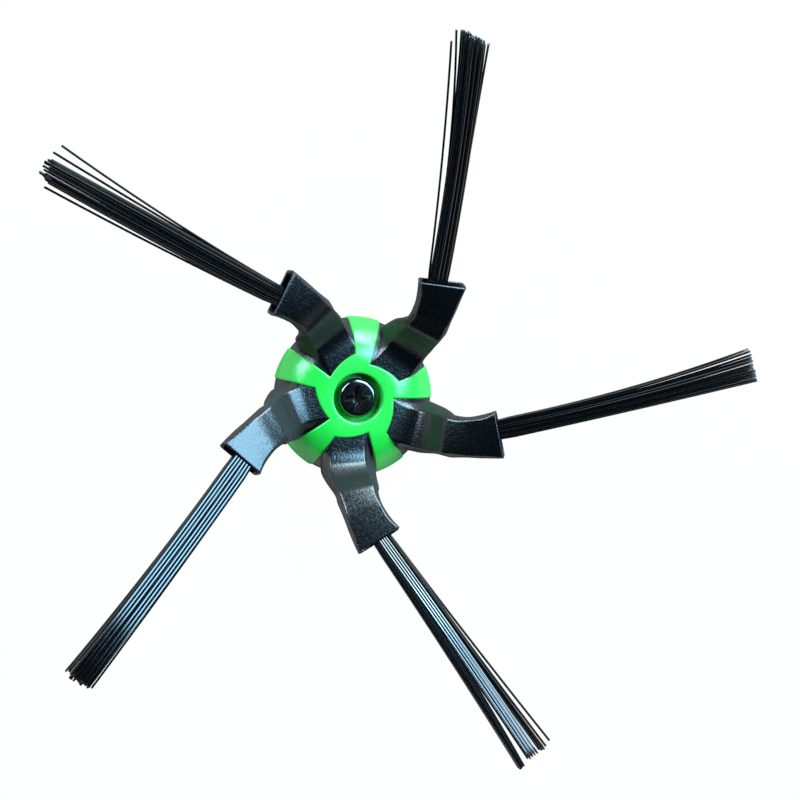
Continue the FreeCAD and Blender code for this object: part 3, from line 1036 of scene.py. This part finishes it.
@dataclass(frozen=True)
class TopLine:
    """Height of an arm's top face above the start of its bowl, along the path in plan."""

    radius: float = 5.1
    steep: float = math.radians(62.0)
    wall: float = 3.4
    crest: float = 1.4
    slope: float = math.radians(21.6)

    @property
    def bowl_run(self) -> float:
        """Distance to the end of the bowl."""
        return self.radius * math.sin(self.steep)

    @property
    def wall_run(self) -> float:
        """Distance to the end of the wall."""
        return self.bowl_run + self.wall * math.cos(self.steep)

    @property
    def crest_run(self) -> float:
        """Distance to the end of the crest."""
        return self.wall_run + self.crest * (math.sin(self.steep) - math.sin(self.slope))

    def height(self, run: float) -> float:
        """Find the top face's height.

        Args:
            run: distance from the start of the bowl.

        Returns:
            The height above the bowl's start.
        """
        bowl_rise = self.radius * (1 - math.cos(self.steep))
        wall_rise = bowl_rise + self.wall * math.sin(self.steep)
        if run <= self.bowl_run:
            return self.radius - math.sqrt(self.radius ** 2 - max(run, 0.0) ** 2)
        if run <= self.wall_run:
            return bowl_rise + (run - self.bowl_run) * math.tan(self.steep)
        on_crest = min(run, self.crest_run)
        angle = math.asin(math.sin(self.steep) - (on_crest - self.wall_run) / self.crest)
        rise = wall_rise + self.crest * (math.cos(angle) - math.cos(self.steep))
        return rise + (run - on_crest) * math.tan(self.slope)


def smooth_row(rows: list[tuple[float, ...]], i: int, u: float) -> FloatList:
    """Read a table between two of its rows, on curves that never overshoot them.

    Args:
        rows: the table.
        i: number of the row before.
        u: share of the way to the next row.

    Returns:
        The values there.
    """
    def slope_at(before: float, here: float, after: float) -> float:
        """Return the slope at a value between two others, zero at a peak."""
        fall, rise = here - before, after - here
        return 2 * fall * rise / (fall + rise) if fall * rise > 0 else 0.0

    values = []
    for k, (a, b) in enumerate(zip(rows[i], rows[i + 1])):
        gap = b - a
        start = slope_at(rows[i - 1][k], a, b) if i > 0 else gap
        end = slope_at(a, b, rows[i + 2][k]) if i < len(rows) - 2 else gap
        bend = 3 * gap - 2 * start - end
        values.append(a + u * (start + u * (bend + u * (start + end - 2 * gap))))
    return values


@dataclass(frozen=True)
class Station:
    """One section of an arm beyond its bowl.

    The face is the top's width and the base the widest width, which lies at the drop. The bow
    lifts the top face, and the web is the share of the arm's skew that is left.
    """

    depth: float
    lean: float
    face: float
    base: float
    drop: float
    bow: float = 0.0
    web: float = 0.0


@dataclass
class ArmMoulding:
    """One rubber arm: foot and plug in the hub's window, bowl, wall, crest and flared sleeve.

    The lip is the wall round the sleeve's pocket. The web is how far the flanks stand over to
    the right where the arm leaves the hub.
    """

    hub: HubMoulding
    mouth_set: float
    bowl_z: float = 9.5
    bowl_start: float = 9.1
    upright_end: float = 13.1
    plug_sink: float = 0.25
    plug_gap: float = 0.01
    plug_bevel: float = 0.3
    foot_half_angle: float = 28.2
    foot_z: float = 3.5
    foot_outer: float = 12.13
    foot_shoulder: float = 12.45
    passage_reach: float = 60.0
    passage_half_angle: float = 85.0
    passage_ends: tuple[float, float] = (4.0, 40.0)
    lip: float = 0.4
    lip_round: float = 0.2
    funnel_depth: float = 2.2
    funnel_half: float = 2.5
    funnel_height: float = 0.75
    funnel_floor: float = 0.8
    funnel_waist: float = 0.4
    web: float = -0.6
    notch_sink: float = 0.2
    notch_face: float = 7.0
    bowl_face: float = 6.2
    bowl_base: float = 8.4
    bowl_drop: float = 0.75
    edge_face: float = 6.6
    edge_base: float = 9.3
    edge_drop: float = 3.8
    riser_share: float = 0.45
    riser: Station = Station(4.1, 20.0, 6.45, 8.4, 2.8, web=1.0)
    crest: Station = Station(2.2, 42.0, 6.15, 7.85, 1.5, web=0.5)
    throat_gap: float = 0.9
    throat: Station = Station(1.9, 21.6, 5.8, 7.5, 1.2)
    shoulder_gap: float = 1.9
    shoulder: Station = Station(3.0, 21.6, 6.15, 7.15, 1.2, bow=0.25)
    middle: Station = Station(3.0, 21.6, 6.5, 7.7, 1.2, bow=0.17)
    mouth: Station = Station(2.75, 21.6, 7.9, 8.5, 0.8)
    underside_ratio: float = 0.94
    mouth_underside: float = 7.6
    rounding: tuple[float, ...] = (0.35, 0.5, 0.4)
    funnel_rounding: tuple[float, ...] = (0.45, 0.6, 0.45)
    steps: int = 12
    corner_steps: int = 5
    lip_steps: int = 8
    window_spans: int = 60
    dome_spans: int = 16
    foot_rows: int = 12
    foot_spans: int = 40

    def __post_init__(self) -> None:
        """Lay out the path and the top line."""
        self.path = ArmPath(self.mouth_set)
        self.top = TopLine()
        self.run = self.path.length(self.path.at_radius(self.bowl_start), 1.0)

    @property
    def mouth_z(self) -> float:
        """Height of the sleeve mouth's upper edge."""
        return self.bowl_z + self.top.height(self.run)

    def mouth_frame(self) -> tuple[Points, Points, Points, Points]:
        """Return the middle of the sleeve mouth and its axes."""
        origin, side, up, along = self.path.frame(1.0, self.mouth_z, self.top.slope)
        return origin - up * (self.mouth.depth / 2), side, up, along

    def stations(self) -> list[tuple[float, ...]]:
        """Lay out the arm's table of sections.

        Returns:
            Rows of share of the path, height, underside's reach ahead and fall, face width,
            widest width, drop to the widest line, ratio of the underside's width and how far
            the sides stand over to the right, below zero on the left, where the web is.
        """
        hub = self.hub
        start = self.path.at_radius(self.bowl_start)
        top = hub.crown_z - self.notch_sink
        rows = [(0.0, top, 0.0, top - hub.widest_z, self.notch_face, self.bowl_base,
                 self.bowl_drop, 1.0, 0.0)]
        for share in (0.0, 0.5, 1.0):
            t = self.path.at_radius(blend(self.bowl_start, self.upright_end, share))
            z = self.bowl_z + self.top.height(self.path.length(start, t))
            rows.append((t, z, 0.0, z - hub.widest_z,
                         blend(self.bowl_face, self.edge_face, share),
                         blend(self.bowl_base, self.edge_base, share),
                         blend(self.bowl_drop, self.edge_drop, share), 1.0,
                         self.web * share))
        throat = self.top.crest_run + self.throat_gap
        shoulder = throat + self.shoulder_gap
        riser = blend(self.top.bowl_run, self.top.wall_run, self.riser_share)
        for distance, station in (
                (riser, self.riser), (self.top.wall_run, self.crest), (throat, self.throat),
                (shoulder, self.shoulder), (blend(shoulder, self.run, 0.5), self.middle),
                (self.run, self.mouth)):
            z = self.bowl_z + self.top.height(distance) + station.bow
            lean = math.radians(station.lean)
            rows.append((blend(start, 1.0, distance / self.run), z,
                         station.depth * math.sin(lean), station.depth * math.cos(lean),
                         station.face, station.base, station.drop, self.underside_ratio,
                         self.web * station.web))
        return rows

    def section(self, row: FloatList, back: float = 0.0) -> Points:
        """Draw one section.

        Args:
            row: a row of the table of sections.
            back: how far to move the section back along its own axis.

        Returns:
            Rows of x, y, z.
        """
        t, z, reach, fall, face, base, drop, under, web = row
        lean = math.atan2(reach, fall)
        origin, side, up, along = self.path.frame(t, z, lean)
        depth = math.hypot(reach, fall)
        half = [(face / 2, 0.0), (base / 2, -drop), (base / 2 * under, -depth)]
        right, left = [[(sign * x + (web if y else 0.0), y) for x, y in half]
                       for sign in (1, -1)]
        radii = list(self.rounding)
        outline = round_corners(right + left[::-1], radii + radii[::-1], self.corner_steps)
        return placed(outline, origin - along * back, side, up)

    def funnel_rings(self, outer: Points) -> list[Points]:
        """Draw the lip of the sleeve mouth and the pocket behind it.

        Args:
            outer: the last ring of the sleeve's outside.

        Returns:
            Rings from the lip to the bottom of the pocket.
        """
        centre, side, up, along = self.mouth_frame()
        mouth = tuple(width / 2 - self.lip
                      for width in (self.mouth.face, self.mouth.base, self.mouth_underside))
        narrow = (self.funnel_half,) * 3
        inner = []
        for start, widths, height in (
                (0.0, mouth, self.mouth.depth / 2 - self.lip),
                (-self.funnel_depth, narrow, self.funnel_height),
                (-self.funnel_depth - self.funnel_floor, narrow, self.funnel_height)):
            half = list(zip(widths, (height, height * self.funnel_waist, -height)))
            radii = list(self.funnel_rounding)
            outline = round_corners(mirrored(half), radii + radii[::-1], self.corner_steps)
            inner.append(placed(outline, centre + along * start, side, up))
        rings = []
        for i in range(1, self.lip_steps):
            angle = math.pi * i / self.lip_steps
            share = (1 - math.cos(angle)) / 2
            ring = outer * (1 - share) + (inner[0] - along * self.lip_round) * share
            rings.append(ring + along * self.lip_round * math.sin(angle))
        return rings + [inner[0] - along * self.lip_round] + inner[1:]

    def limb(self) -> MeshDraft:
        """Draw the closed free form from the notch to the pocket of the sleeve.

        Returns:
            Its draft.
        """
        rows = self.stations()
        rings = []
        for i in range(len(rows) - 1):
            for step in range(self.steps):
                rings.append(self.section(smooth_row(rows, i, step / self.steps)))
        rings.append(self.section(list(rows[-1]), back=self.lip_round))
        return solid(rings + self.funnel_rings(rings[-1]))

    def passage(self) -> MeshDraft:
        """Draw the prism that the limb may fill: its window and all beyond the hub's edge.

        Returns:
            Its draft.
        """
        hub = self.hub
        half = hub.window_half_angle
        angles = [-half + half * i / (self.window_spans / 2) for i in range(self.window_spans + 1)]
        plan = [polar(hub.notch(angle), angle) for angle in angles]
        wide = self.passage_half_angle
        plan += [polar(hub.radius, half)]
        plan += [polar(self.passage_reach, angle) for angle in (wide, 0.0, -wide)]
        plan += [polar(hub.radius, -half)]
        return solid([np.array([[*p, z] for p in plan]) for z in self.passage_ends])

    def plug(self) -> MeshDraft:
        """Draw the rubber that fills the window, just below the dome.

        Returns:
            Its draft.
        """
        hub = self.hub
        half = hub.window_half_angle
        rings = []
        for i in range(self.window_spans + 1):
            degrees = -half + 2 * half * i / self.window_spans
            root = hub.notch(degrees) + self.plug_gap
            start = hub.dome_angle(root)
            line = [np.array([root, hub.tie_top_z])]
            line += [hub.dome_point(blend(start, hub.sweep, k / self.dome_spans),
                                    self.plug_sink) for k in range(self.dome_spans + 1)]
            foot = hub.radius - hub.skirt_draft - self.plug_sink
            line += [np.array([foot, hub.rim_z + self.plug_bevel]),
                     np.array([foot - self.plug_bevel, hub.rim_z]),
                     np.array([hub.tie_outer + self.plug_gap, hub.rim_z]),
                     np.array([hub.tie_outer + self.plug_gap, hub.tie_top_z])]
            rings.append(upright(line, degrees))
        return solid(rings)

    def foot(self) -> MeshDraft:
        """Draw the rubber under the shell that locks the arm in the hub.

        Returns:
            Its draft.
        """
        hub = self.hub
        inner = hub.boss_radius + FIT_GAP
        ledge = hub.tie_top_z + FIT_GAP
        line = [np.array([inner, self.foot_z]),
                np.array([inner, hub.crown_z - hub.shell - FIT_GAP])]
        line += [hub.dome_point(hub.sweep * k / self.foot_rows, hub.shell + FIT_GAP)
                 for k in range(self.foot_rows + 1)]
        line += [np.array([self.foot_shoulder, ledge]), np.array([self.foot_outer, ledge]),
                 np.array([self.foot_outer, self.foot_z])]
        return solid([upright(line, self.foot_half_angle * (2 * i / self.foot_spans - 1))
                      for i in range(self.foot_spans + 1)])

    def build(self, name: str, turn: float, finish: bpy.types.Material) -> bpy.types.Object:
        """Build the arm.

        Args:
            name: the piece's name.
            turn: its window's angle from +X.
            finish: its material.

        Returns:
            The piece.
        """
        shapes = [self.limb(), self.passage(), self.plug(), self.foot()]
        for draft in shapes:
            draft.turn(turn)
        arm, passage, plug, foot = [
            draft.build(f"{name}_{i}" if i else name, finish) for i, draft in enumerate(shapes)]
        combine(arm, passage, Joining.LIMIT)
        combine(arm, plug, Joining.ADD)
        combine(arm, foot, Joining.ADD)
        return arm


# Bristles

@dataclass(frozen=True)
class Strand:
    """A group of filaments side by side.

    Places are across the tuft in millimetres, to the right as seen from above and looking out:
    at the sleeve mouth, half way and at the cut ends. Trims are beyond the tuft's reach. The
    filaments are six-sided; twist turns their flats from those of the rest of the tuft.
    """

    count: int
    mouth: tuple[float, float]
    middle: tuple[float, float]
    tip: tuple[float, float]
    trim: tuple[float, float]
    layers: int = 1
    ragged: float = 0.15
    radius: float = 0.2
    level: float = 0.0
    twist: float = 0.0


@dataclass(frozen=True)
class TuftShape:
    """How one tuft has spread in use.

    The reach is its length beyond the sleeve mouth, the lead is the angle that it points at,
    from the window's centre line, and the twist turns the flats of its filaments.
    """

    name: str
    reach: float
    lead: float
    twist: float
    strands: tuple[Strand, ...]


@dataclass
class Tuft:
    """Nylon filaments that leave a fused bead in the sleeve."""

    arm: ArmMoulding
    shape: TuftShape
    seed: int
    rise: float = math.radians(15.0)
    bow: float = 1.1
    mouth_height: float = 0.9
    tip_height: float = 2.6
    root_back: float = 2.8
    root_lift: float = 0.12
    layer_scatter: float = 0.4
    root_half: float = 2.2
    root_gather: float = 0.85
    root_layer: float = 0.4
    step_power: float = 1.25
    fan_power: float = 1.2
    cut_round: float = 0.12
    cut_share: float = 0.7
    bead_half: tuple[float, float] = (2.45, 0.72)
    bead_round: float = 0.3
    bead_taper: float = 0.12
    bead_places: tuple[float, ...] = (-5.15, -5.0, -4.0, -3.0, -2.45, -2.3)
    sides: int = 6
    steps: int = 15

    def axes(self) -> tuple[Points, Points, Points, Points]:
        """Find the tuft's own axes.

        Returns:
            The middle of the sleeve mouth and the directions out, across and up.
        """
        centre = self.arm.mouth_frame()[0]
        plan = polar(1.0, self.shape.lead)
        out = np.array([*(plan * math.cos(self.rise)), math.sin(self.rise)])
        across = np.array([*polar(1.0, self.shape.lead - 90.0), 0.0])
        return centre, out, across, np.cross(across, out)

    def filament(self, strand: Strand, places: tuple[float, float, float], level: float,
                 trim: float) -> list[Points]:
        """Draw one filament.

        Args:
            strand: the group it belongs to.
            places: where it lies across the tuft at the mouth, half way and at its end.
            level: its layer, from -1 at the back to 1 in front.
            trim: how far it ends beyond the tuft's reach.

        Returns:
            Rings from inside the bead to the cut end.
        """
        centre, out, across, rise = self.axes()
        _, side, up, along = self.arm.mouth_frame()
        near, half, far = places
        length = self.shape.reach + trim
        inside = max(min(near * self.root_gather, self.root_half), -self.root_half)
        points = [centre - along * self.root_back + side * inside
                  + up * (self.root_lift + level * self.root_layer)]
        for i in range(1, self.steps + 1):
            u = 0.02 + 0.98 * (i / self.steps) ** self.step_power
            place = (near * (1 - u) * (1 - 2 * u) + half * 4 * u * (1 - u)
                     + far * u * (2 * u - 1))
            fan = blend(self.mouth_height, self.tip_height, u ** self.fan_power)
            height = level * fan / 2 + self.bow * 4 * u * (1 - u)
            points.append(centre + out * (length * u) + across * place + rise * height)
        points.insert(-1, points[-1] - out * self.cut_round)
        ways = np.gradient(np.array(points), axis=0)
        rings = []
        for i, (point, way) in enumerate(zip(points, ways)):
            way = way / np.linalg.norm(way)
            flat = np.cross(way, [0.0, 0.0, 1.0])
            flat /= np.linalg.norm(flat)
            steep = np.cross(flat, way)
            width = strand.radius * (self.cut_share if i == len(points) - 1 else 1.0)
            rings.append(np.array([
                point + (flat * math.cos(a) + steep * math.sin(a)) * width
                for a in (np.arange(self.sides) * 2 * math.pi / self.sides
                          + math.radians(self.shape.twist + strand.twist))]))
        return rings

    def build(self, turn: float, finish: bpy.types.Material) -> bpy.types.Object:
        """Build the tuft.

        Args:
            turn: its window's angle from +X.
            finish: its material.

        Returns:
            The piece.
        """
        rng = random.Random(self.seed)
        draft = MeshDraft()
        for strand in self.shape.strands:
            scatter = self.layer_scatter if strand.layers > 1 else strand.ragged
            for layer in range(strand.layers):
                level = strand.level
                if strand.layers > 1:
                    level += 1 - 2 * layer / (strand.layers - 1)
                for i in range(strand.count):
                    last = max(strand.count - 1, 1)
                    share = (i + (layer % 2) * 0.5 * (i < last)) / last
                    jitter = rng.uniform(-1, 1) * strand.ragged
                    places = tuple(blend(*ends, share) + jitter * scale for ends, scale in (
                        (strand.mouth, 0.2), (strand.middle, 0.7), (strand.tip, 1.0)))
                    trim = blend(*strand.trim, share) + rng.uniform(-1, 1) * strand.ragged * 2
                    draft.add_rings(self.filament(
                        strand, places, level + rng.uniform(-1, 1) * scatter, trim))
        self.bead(draft)
        draft.turn(turn)
        return draft.build(self.shape.name, finish)

    def bead(self, draft: MeshDraft) -> None:
        """Add the fused bead behind the funnel.

        Args:
            draft: the tuft's draft.
        """
        centre, side, up, along = self.arm.mouth_frame()
        rings = []
        for start in self.bead_places:
            at_end = start in (self.bead_places[0], self.bead_places[-1])
            width, height = (half - (self.bead_taper if at_end else 0.0)
                             for half in self.bead_half)
            outline = round_corners(mirrored([(width, height), (width, -height)]),
                                    [self.bead_round] * 4, 4)
            rings.append(placed(outline, centre + along * start, side, up))
        draft.add_rings(rings)


TUFTS = (
    TuftShape("bristles_1", 42.0, 40.1, 30.0, (
        Strand(1, (-2.45, -2.45), (-2.85, -2.85), (-3.50, -3.50), (-0.9, -0.9)),
        Strand(1, (-2.10, -2.10), (-1.75, -1.75), (-2.90, -2.90), (1.2, 1.2)),
        Strand(9, (-2.20, 0.75), (-1.65, 1.45), (-1.95, 1.95), (1.2, -0.5), layers=4),
        Strand(1, (0.80, 0.80), (1.55, 1.55), (2.80, 2.80), (-0.6, -0.6)),
    )),
    TuftShape("bristles_2", 45.1, 35.8, 15.0, (
        Strand(1, (-2.35, -2.35), (-2.55, -2.55), (-2.10, -2.10), (-0.6, -0.6)),
        Strand(5, (-2.30, -1.10), (-1.85, -0.75), (-0.90, 0.10), (-0.4, 0.9), layers=3,
               ragged=0.3),
        Strand(6, (-0.90, 0.60), (-0.40, 1.50), (0.45, 2.35), (0.3, 0.7), layers=3,
               ragged=0.3),
        Strand(1, (0.75, 0.75), (2.00, 2.00), (3.70, 3.70), (0.7, 0.7)),
        Strand(1, (0.80, 0.80), (2.25, 2.25), (5.00, 5.00), (0.4, 0.4)),
    )),
    TuftShape("bristles_3", 45.6, 40.4, 16.0, (
        Strand(10, (-2.35, 1.35), (-2.15, 1.70), (-2.05, 2.60), (0.1, 0.1), layers=3),
        Strand(5, (1.20, -1.60), (-0.90, 0.90), (-0.80, 1.20), (0.5, 0.5), layers=2),
        Strand(6, (-2.00, 1.05), (-1.75, 1.40), (-1.50, 2.10), (0.5, 0.5), ragged=0.10,
               radius=0.22, level=1.5, twist=-16.0),
    )),
    TuftShape("bristles_4", 44.2, 42.3, -12.0, (
        Strand(1, (-2.15, -2.15), (-2.45, -2.45), (-3.35, -3.35), (0.4, 0.4)),
        Strand(3, (-2.00, -1.55), (-1.85, -1.35), (-2.20, -1.30), (0.6, 0.6), layers=2,
               ragged=0.08),
        Strand(5, (-1.55, 0.15), (-1.20, 0.60), (-0.60, 1.20), (0.5, 0.5), ragged=0.05,
               level=-0.8),
        Strand(4, (-1.35, 0.00), (-1.00, 0.40), (-0.45, 1.10), (0.6, 0.6), ragged=0.04,
               radius=0.17, level=0.9, twist=33.0),
        Strand(6, (0.10, 1.00), (0.90, 2.10), (2.80, 3.40), (0.9, 0.9), layers=3,
               ragged=0.10),
    )),
    TuftShape("bristles_5", 45.1, 41.5, 0.0, (
        Strand(9, (-2.50, 0.30), (-2.05, 0.95), (-3.05, 1.60), (-0.3, -0.3), layers=3,
               ragged=0.06),
        Strand(2, (0.45, 0.80), (1.15, 1.45), (1.85, 2.20), (-0.3, -0.3), layers=2,
               ragged=0.05),
    )),
)
MOUTH_SETS = (-0.6, -1.2, 1.2, 0.6, -0.4)


# Screw

@dataclass
class PanHeadScrew:
    """The captive screw: pan head with a cross recess, neck and thread."""

    head_radius: float = 3.4
    head_foot: float = 6.8
    head_top: float = 9.2
    head_round: float = 0.7
    neck_radius: float = 1.3
    neck_foot: float = 4.6
    thread_radius: float = 1.75
    core_radius: float = 1.38
    thread_pitch: float = 0.8
    thread_half: float = 0.36
    thread_crest: float = 1.25
    thread_start: float = 0.3
    thread_run_out: float = 0.6
    point_height: float = 0.35
    point_slope: float = 0.9
    end_z: float = 0.6
    cross_span: float = 4.5
    cross_wing: float = 1.15
    cross_depth: float = 1.7
    cross_taper: float = 0.75
    cross_round: float = 0.16
    wing_taper: float = 0.25
    steps: int = 96
    thread_rows: int = 60

    def body(self) -> MeshDraft:
        """Draw the turned body with its thread.

        Returns:
            Its draft.
        """
        profile = [(0.0, self.head_top + 0.02), (1.4, self.head_top + 0.01)]
        for i in range(9):
            angle = math.pi / 2 * (1 - i / 8)
            profile.append((self.head_radius - self.head_round * (1 - math.cos(angle)),
                            self.head_top - self.head_round * (1 - math.sin(angle))))
        profile += [(self.head_radius, self.head_foot + 0.3),
                    (self.head_radius - 0.06, self.head_foot + 0.06),
                    (self.head_radius - 0.3, self.head_foot),
                    (self.neck_radius + 0.15, self.head_foot),
                    (self.neck_radius, self.head_foot - 0.15),
                    (self.neck_radius, self.neck_foot + 0.1)]
        rings = [circle(max(radius, 0.001), z, self.steps) for radius, z in profile]
        for k in range(self.thread_rows + 1):
            z = blend(self.neck_foot, self.end_z, k / self.thread_rows)
            ring = []
            for i in range(self.steps):
                turn = (z / self.thread_pitch + i / self.steps) % 1.0
                crest = max(0.0, 1.0 - abs(turn - 0.5) / self.thread_half)
                fade = min((self.neck_foot - z) / self.thread_start, 1.0,
                           (z - self.end_z) / self.thread_run_out)
                radius = self.core_radius + (self.thread_radius - self.core_radius) * min(
                    crest * self.thread_crest, 1.0) * max(fade, 0.0)
                radius -= max(0.0, self.point_height - (z - self.end_z)) * self.point_slope
                ring.append([*polar(radius, 360.0 * i / self.steps), z])
            rings.append(np.array(ring))
        return solid(rings)

    def cutters(self) -> list[MeshDraft]:
        """Draw what cuts the recess: two crossed wings that narrow downwards, and a cone.

        Returns:
            Their drafts.
        """
        drafts = []
        for turn in (0.0, 90.0):
            rings = []
            for share in (-0.3, 0.0, 0.35, 0.7, 1.0):
                z = self.head_top - self.cross_depth * share
                taper = 1.0 - self.cross_taper * max(share, 0.0) ** 1.2
                long, wide = self.cross_span / 2 * taper, self.cross_wing / 2
                wide *= 1.0 - self.wing_taper * max(share, 0.0)
                half = [(long, wide), (-long, wide), (-long, -wide), (long, -wide)]
                outline = round_corners(half, [self.cross_round] * 4, 4)
                rings.append(turned(np.array([[x, y, z] for x, y in outline]), turn))
            drafts.append(solid(rings))
        cone = ((1.05, self.head_top + 0.1), (0.95, self.head_top - 0.3),
                (0.45, self.head_top - self.cross_depth - 0.15))
        return drafts + [solid([circle(radius, z, 24) for radius, z in cone])]

    def build(self, finish: bpy.types.Material) -> bpy.types.Object:
        """Build the screw.

        Args:
            finish: its material.

        Returns:
            The piece.
        """
        piece = self.body().build("pan_head_screw", finish)
        for i, cutter in enumerate(self.cutters()):
            combine(piece, cutter.build(f"cutter_{i}", finish), Joining.CUT)
        return piece


# Stage

@dataclass(frozen=True)
class PhotoCamera:
    """The photograph's camera: how the part is turned in it and how far away it is."""

    tilt_x: float = math.radians(4.05)
    tilt_y: float = math.radians(12.3)
    shift_x: float = -8.34
    shift_y: float = 0.66
    distance: float = 400.0
    aim_z: float = 4.2
    pixels_per_mm: float = 5.687
    frame_pixels: float = 800.0

    def build(self) -> None:
        """Create the camera and make it the scene's own."""
        turn = Matrix.Rotation(self.tilt_y, 3, "Y") @ Matrix.Rotation(self.tilt_x, 3, "X")
        back = turn.transposed()
        place = back @ Vector((-self.shift_x, -self.shift_y, self.distance))
        place.z += self.aim_z
        data = bpy.data.cameras.new("photo_camera")
        data.sensor_fit = "AUTO"
        data.angle = 2 * math.atan(self.frame_pixels / 2 / (self.pixels_per_mm * self.distance))
        data.clip_start = 0.01
        data.clip_end = 10.0
        camera = add_object("photo_camera", data)
        camera.matrix_world = Matrix.Translation(place * MM) @ back.to_4x4()
        bpy.context.scene.camera = camera


@dataclass(frozen=True)
class SoftBox:
    """A soft light: where it stands as seen from the part, its size in metres and strength."""

    name: str
    azimuth: float
    elevation: float
    distance: float
    width: float
    height: float
    radiance: float
    colour: Colour

    def build(self) -> None:
        """Create the light, facing the part."""
        data = bpy.data.lights.new(self.name, "AREA")
        data.shape = "RECTANGLE"
        data.size = self.width
        data.size_y = self.height
        data.energy = self.radiance * math.pi * self.width * self.height
        data.color = self.colour
        lamp = add_object(self.name, data)
        lift = math.radians(self.elevation)
        way = Vector((*polar(math.cos(lift), self.azimuth), math.sin(lift)))
        lamp.location = way * self.distance
        lamp.rotation_euler = way.to_track_quat("Z", "Y").to_euler()


SOFT_BOXES = (
    SoftBox("high_window", 32.0, 54.0, 0.50, 0.28, 0.30, 15.0, (0.36, 0.72, 1.0)),
    SoftBox("low_window", 64.0, 32.0, 0.50, 0.32, 0.22, 17.0, (0.62, 0.88, 1.0)),
    SoftBox("left_window", 136.0, 36.0, 0.50, 0.30, 0.20, 13.0, (0.60, 0.86, 1.0)),
)


@dataclass(frozen=True)
class Studio:
    """Pale floor that curves up far away, dim surround and lights."""

    profile: tuple[tuple[float, float], ...] = (
        (2300.0, 580.0), (2290.0, 300.0), (2240.0, 120.0), (2150.0, 30.0), (2000.0, 0.0),
        (1000.0, 0.0), (300.0, 0.0), (60.0, 0.0))
    steps: int = 64
    backdrop_share: float = 0.985
    surround_colour: Colour = (0.80, 0.88, 1.0)
    surround_strength: float = 0.015

    def floor(self) -> None:
        """Add the floor, which keeps a faint shadow of the part."""
        draft = MeshDraft()
        draft.add_rings([circle(radius, z, self.steps) for radius, z in self.profile],
                        capped=False)
        last = (len(self.profile) - 1) * self.steps
        draft.faces.append(tuple(range(last, last + self.steps)))
        floor = draft.build("floor", self.floor_material())

    def floor_material(self) -> bpy.types.Material:
        """Build the floor's material: pale, and plain white where camera or gloss sees it.

        Returns:
            The new material.
        """
        material, sketch = blank_material("white_floor")
        place = sketch.add("ShaderNodeTexCoord")
        noise = sketch.add("ShaderNodeTexNoise", vector=place.outputs["Object"], scale=3.0)
        tone = sketch.add("ShaderNodeMapRange", value=noise.outputs["Fac"], to_min=0.66,
                          to_max=0.70)
        paint = sketch.add("ShaderNodeCombineColor", red=tone.outputs["Result"],
                           green=tone.outputs["Result"], blue=tone.outputs["Result"])
        surface = sketch.add("ShaderNodeBsdfPrincipled", base_color=paint.outputs["Color"],
                             roughness=0.9, specular_ior_level=0.2)
        glow = sketch.add("ShaderNodeEmission", color=(1.0, 1.0, 1.0, 1.0), strength=1.0)
        rays = sketch.add("ShaderNodeLightPath")
        seen = sketch.math(MathKind.ADD, rays.outputs["Is Camera Ray"],
                           rays.outputs["Is Glossy Ray"], clamp=True)
        white = sketch.math(MathKind.ADD, seen, rays.outputs["Is Transmission Ray"], clamp=True)
        mix = sketch.add("ShaderNodeMixShader",
                         fac=sketch.math(MathKind.MULTIPLY, white, self.backdrop_share))
        sketch.put(surface.outputs["BSDF"], mix.inputs[1])
        sketch.put(glow.outputs["Emission"], mix.inputs[2])
        sketch.add("ShaderNodeOutputMaterial", surface=mix.outputs["Shader"])
        return material

    def surround(self) -> None:
        """Add a dim even surround."""
        world = bpy.data.worlds.new("surround")
        world.use_nodes = True
        background = world.node_tree.nodes["Background"]
        background.inputs["Color"].default_value = rgba(self.surround_colour)
        background.inputs["Strength"].default_value = self.surround_strength
        bpy.context.scene.world = world

    def build(self) -> None:
        """Build the whole studio."""
        self.floor()
        self.surround()
        for box in SOFT_BOXES:
            box.build()
        bpy.context.scene.view_settings.view_transform = "Standard"


def main() -> None:
    """Build the brush, its stage, lights and camera."""
    logging.basicConfig(level=logging.INFO, format="%(name)s %(message)s")
    groups = SharedGroups()
    hub = HubMoulding()
    seat(hub.build(GREEN_PLASTIC.material(groups)), BRUSH, ["hub"])
    rubber = SATIN_RUBBER.material(groups)
    nylon = BLACK_NYLON.material(groups)
    for number, (mouth_set, shape) in enumerate(zip(MOUTH_SETS, TUFTS), start=1):
        turn = hub.first_window + (number - 1) * hub.pitch
        arm = ArmMoulding(hub, mouth_set)
        seat(arm.build(f"rubber_arm_{number}", turn, rubber), BRUSH,
             [f"arm_{number}"])
        tuft = Tuft(arm, shape, seed=number)
        seat(tuft.build(turn, nylon), BRUSH, [f"tuft_{number}"])
    screw = PanHeadScrew()
    seat(screw.build(BLACKENED_STEEL.material(groups)), SCREW, ["screw"])
    Studio().build()
    PhotoCamera().build()


if __name__ == "__main__":
    main()
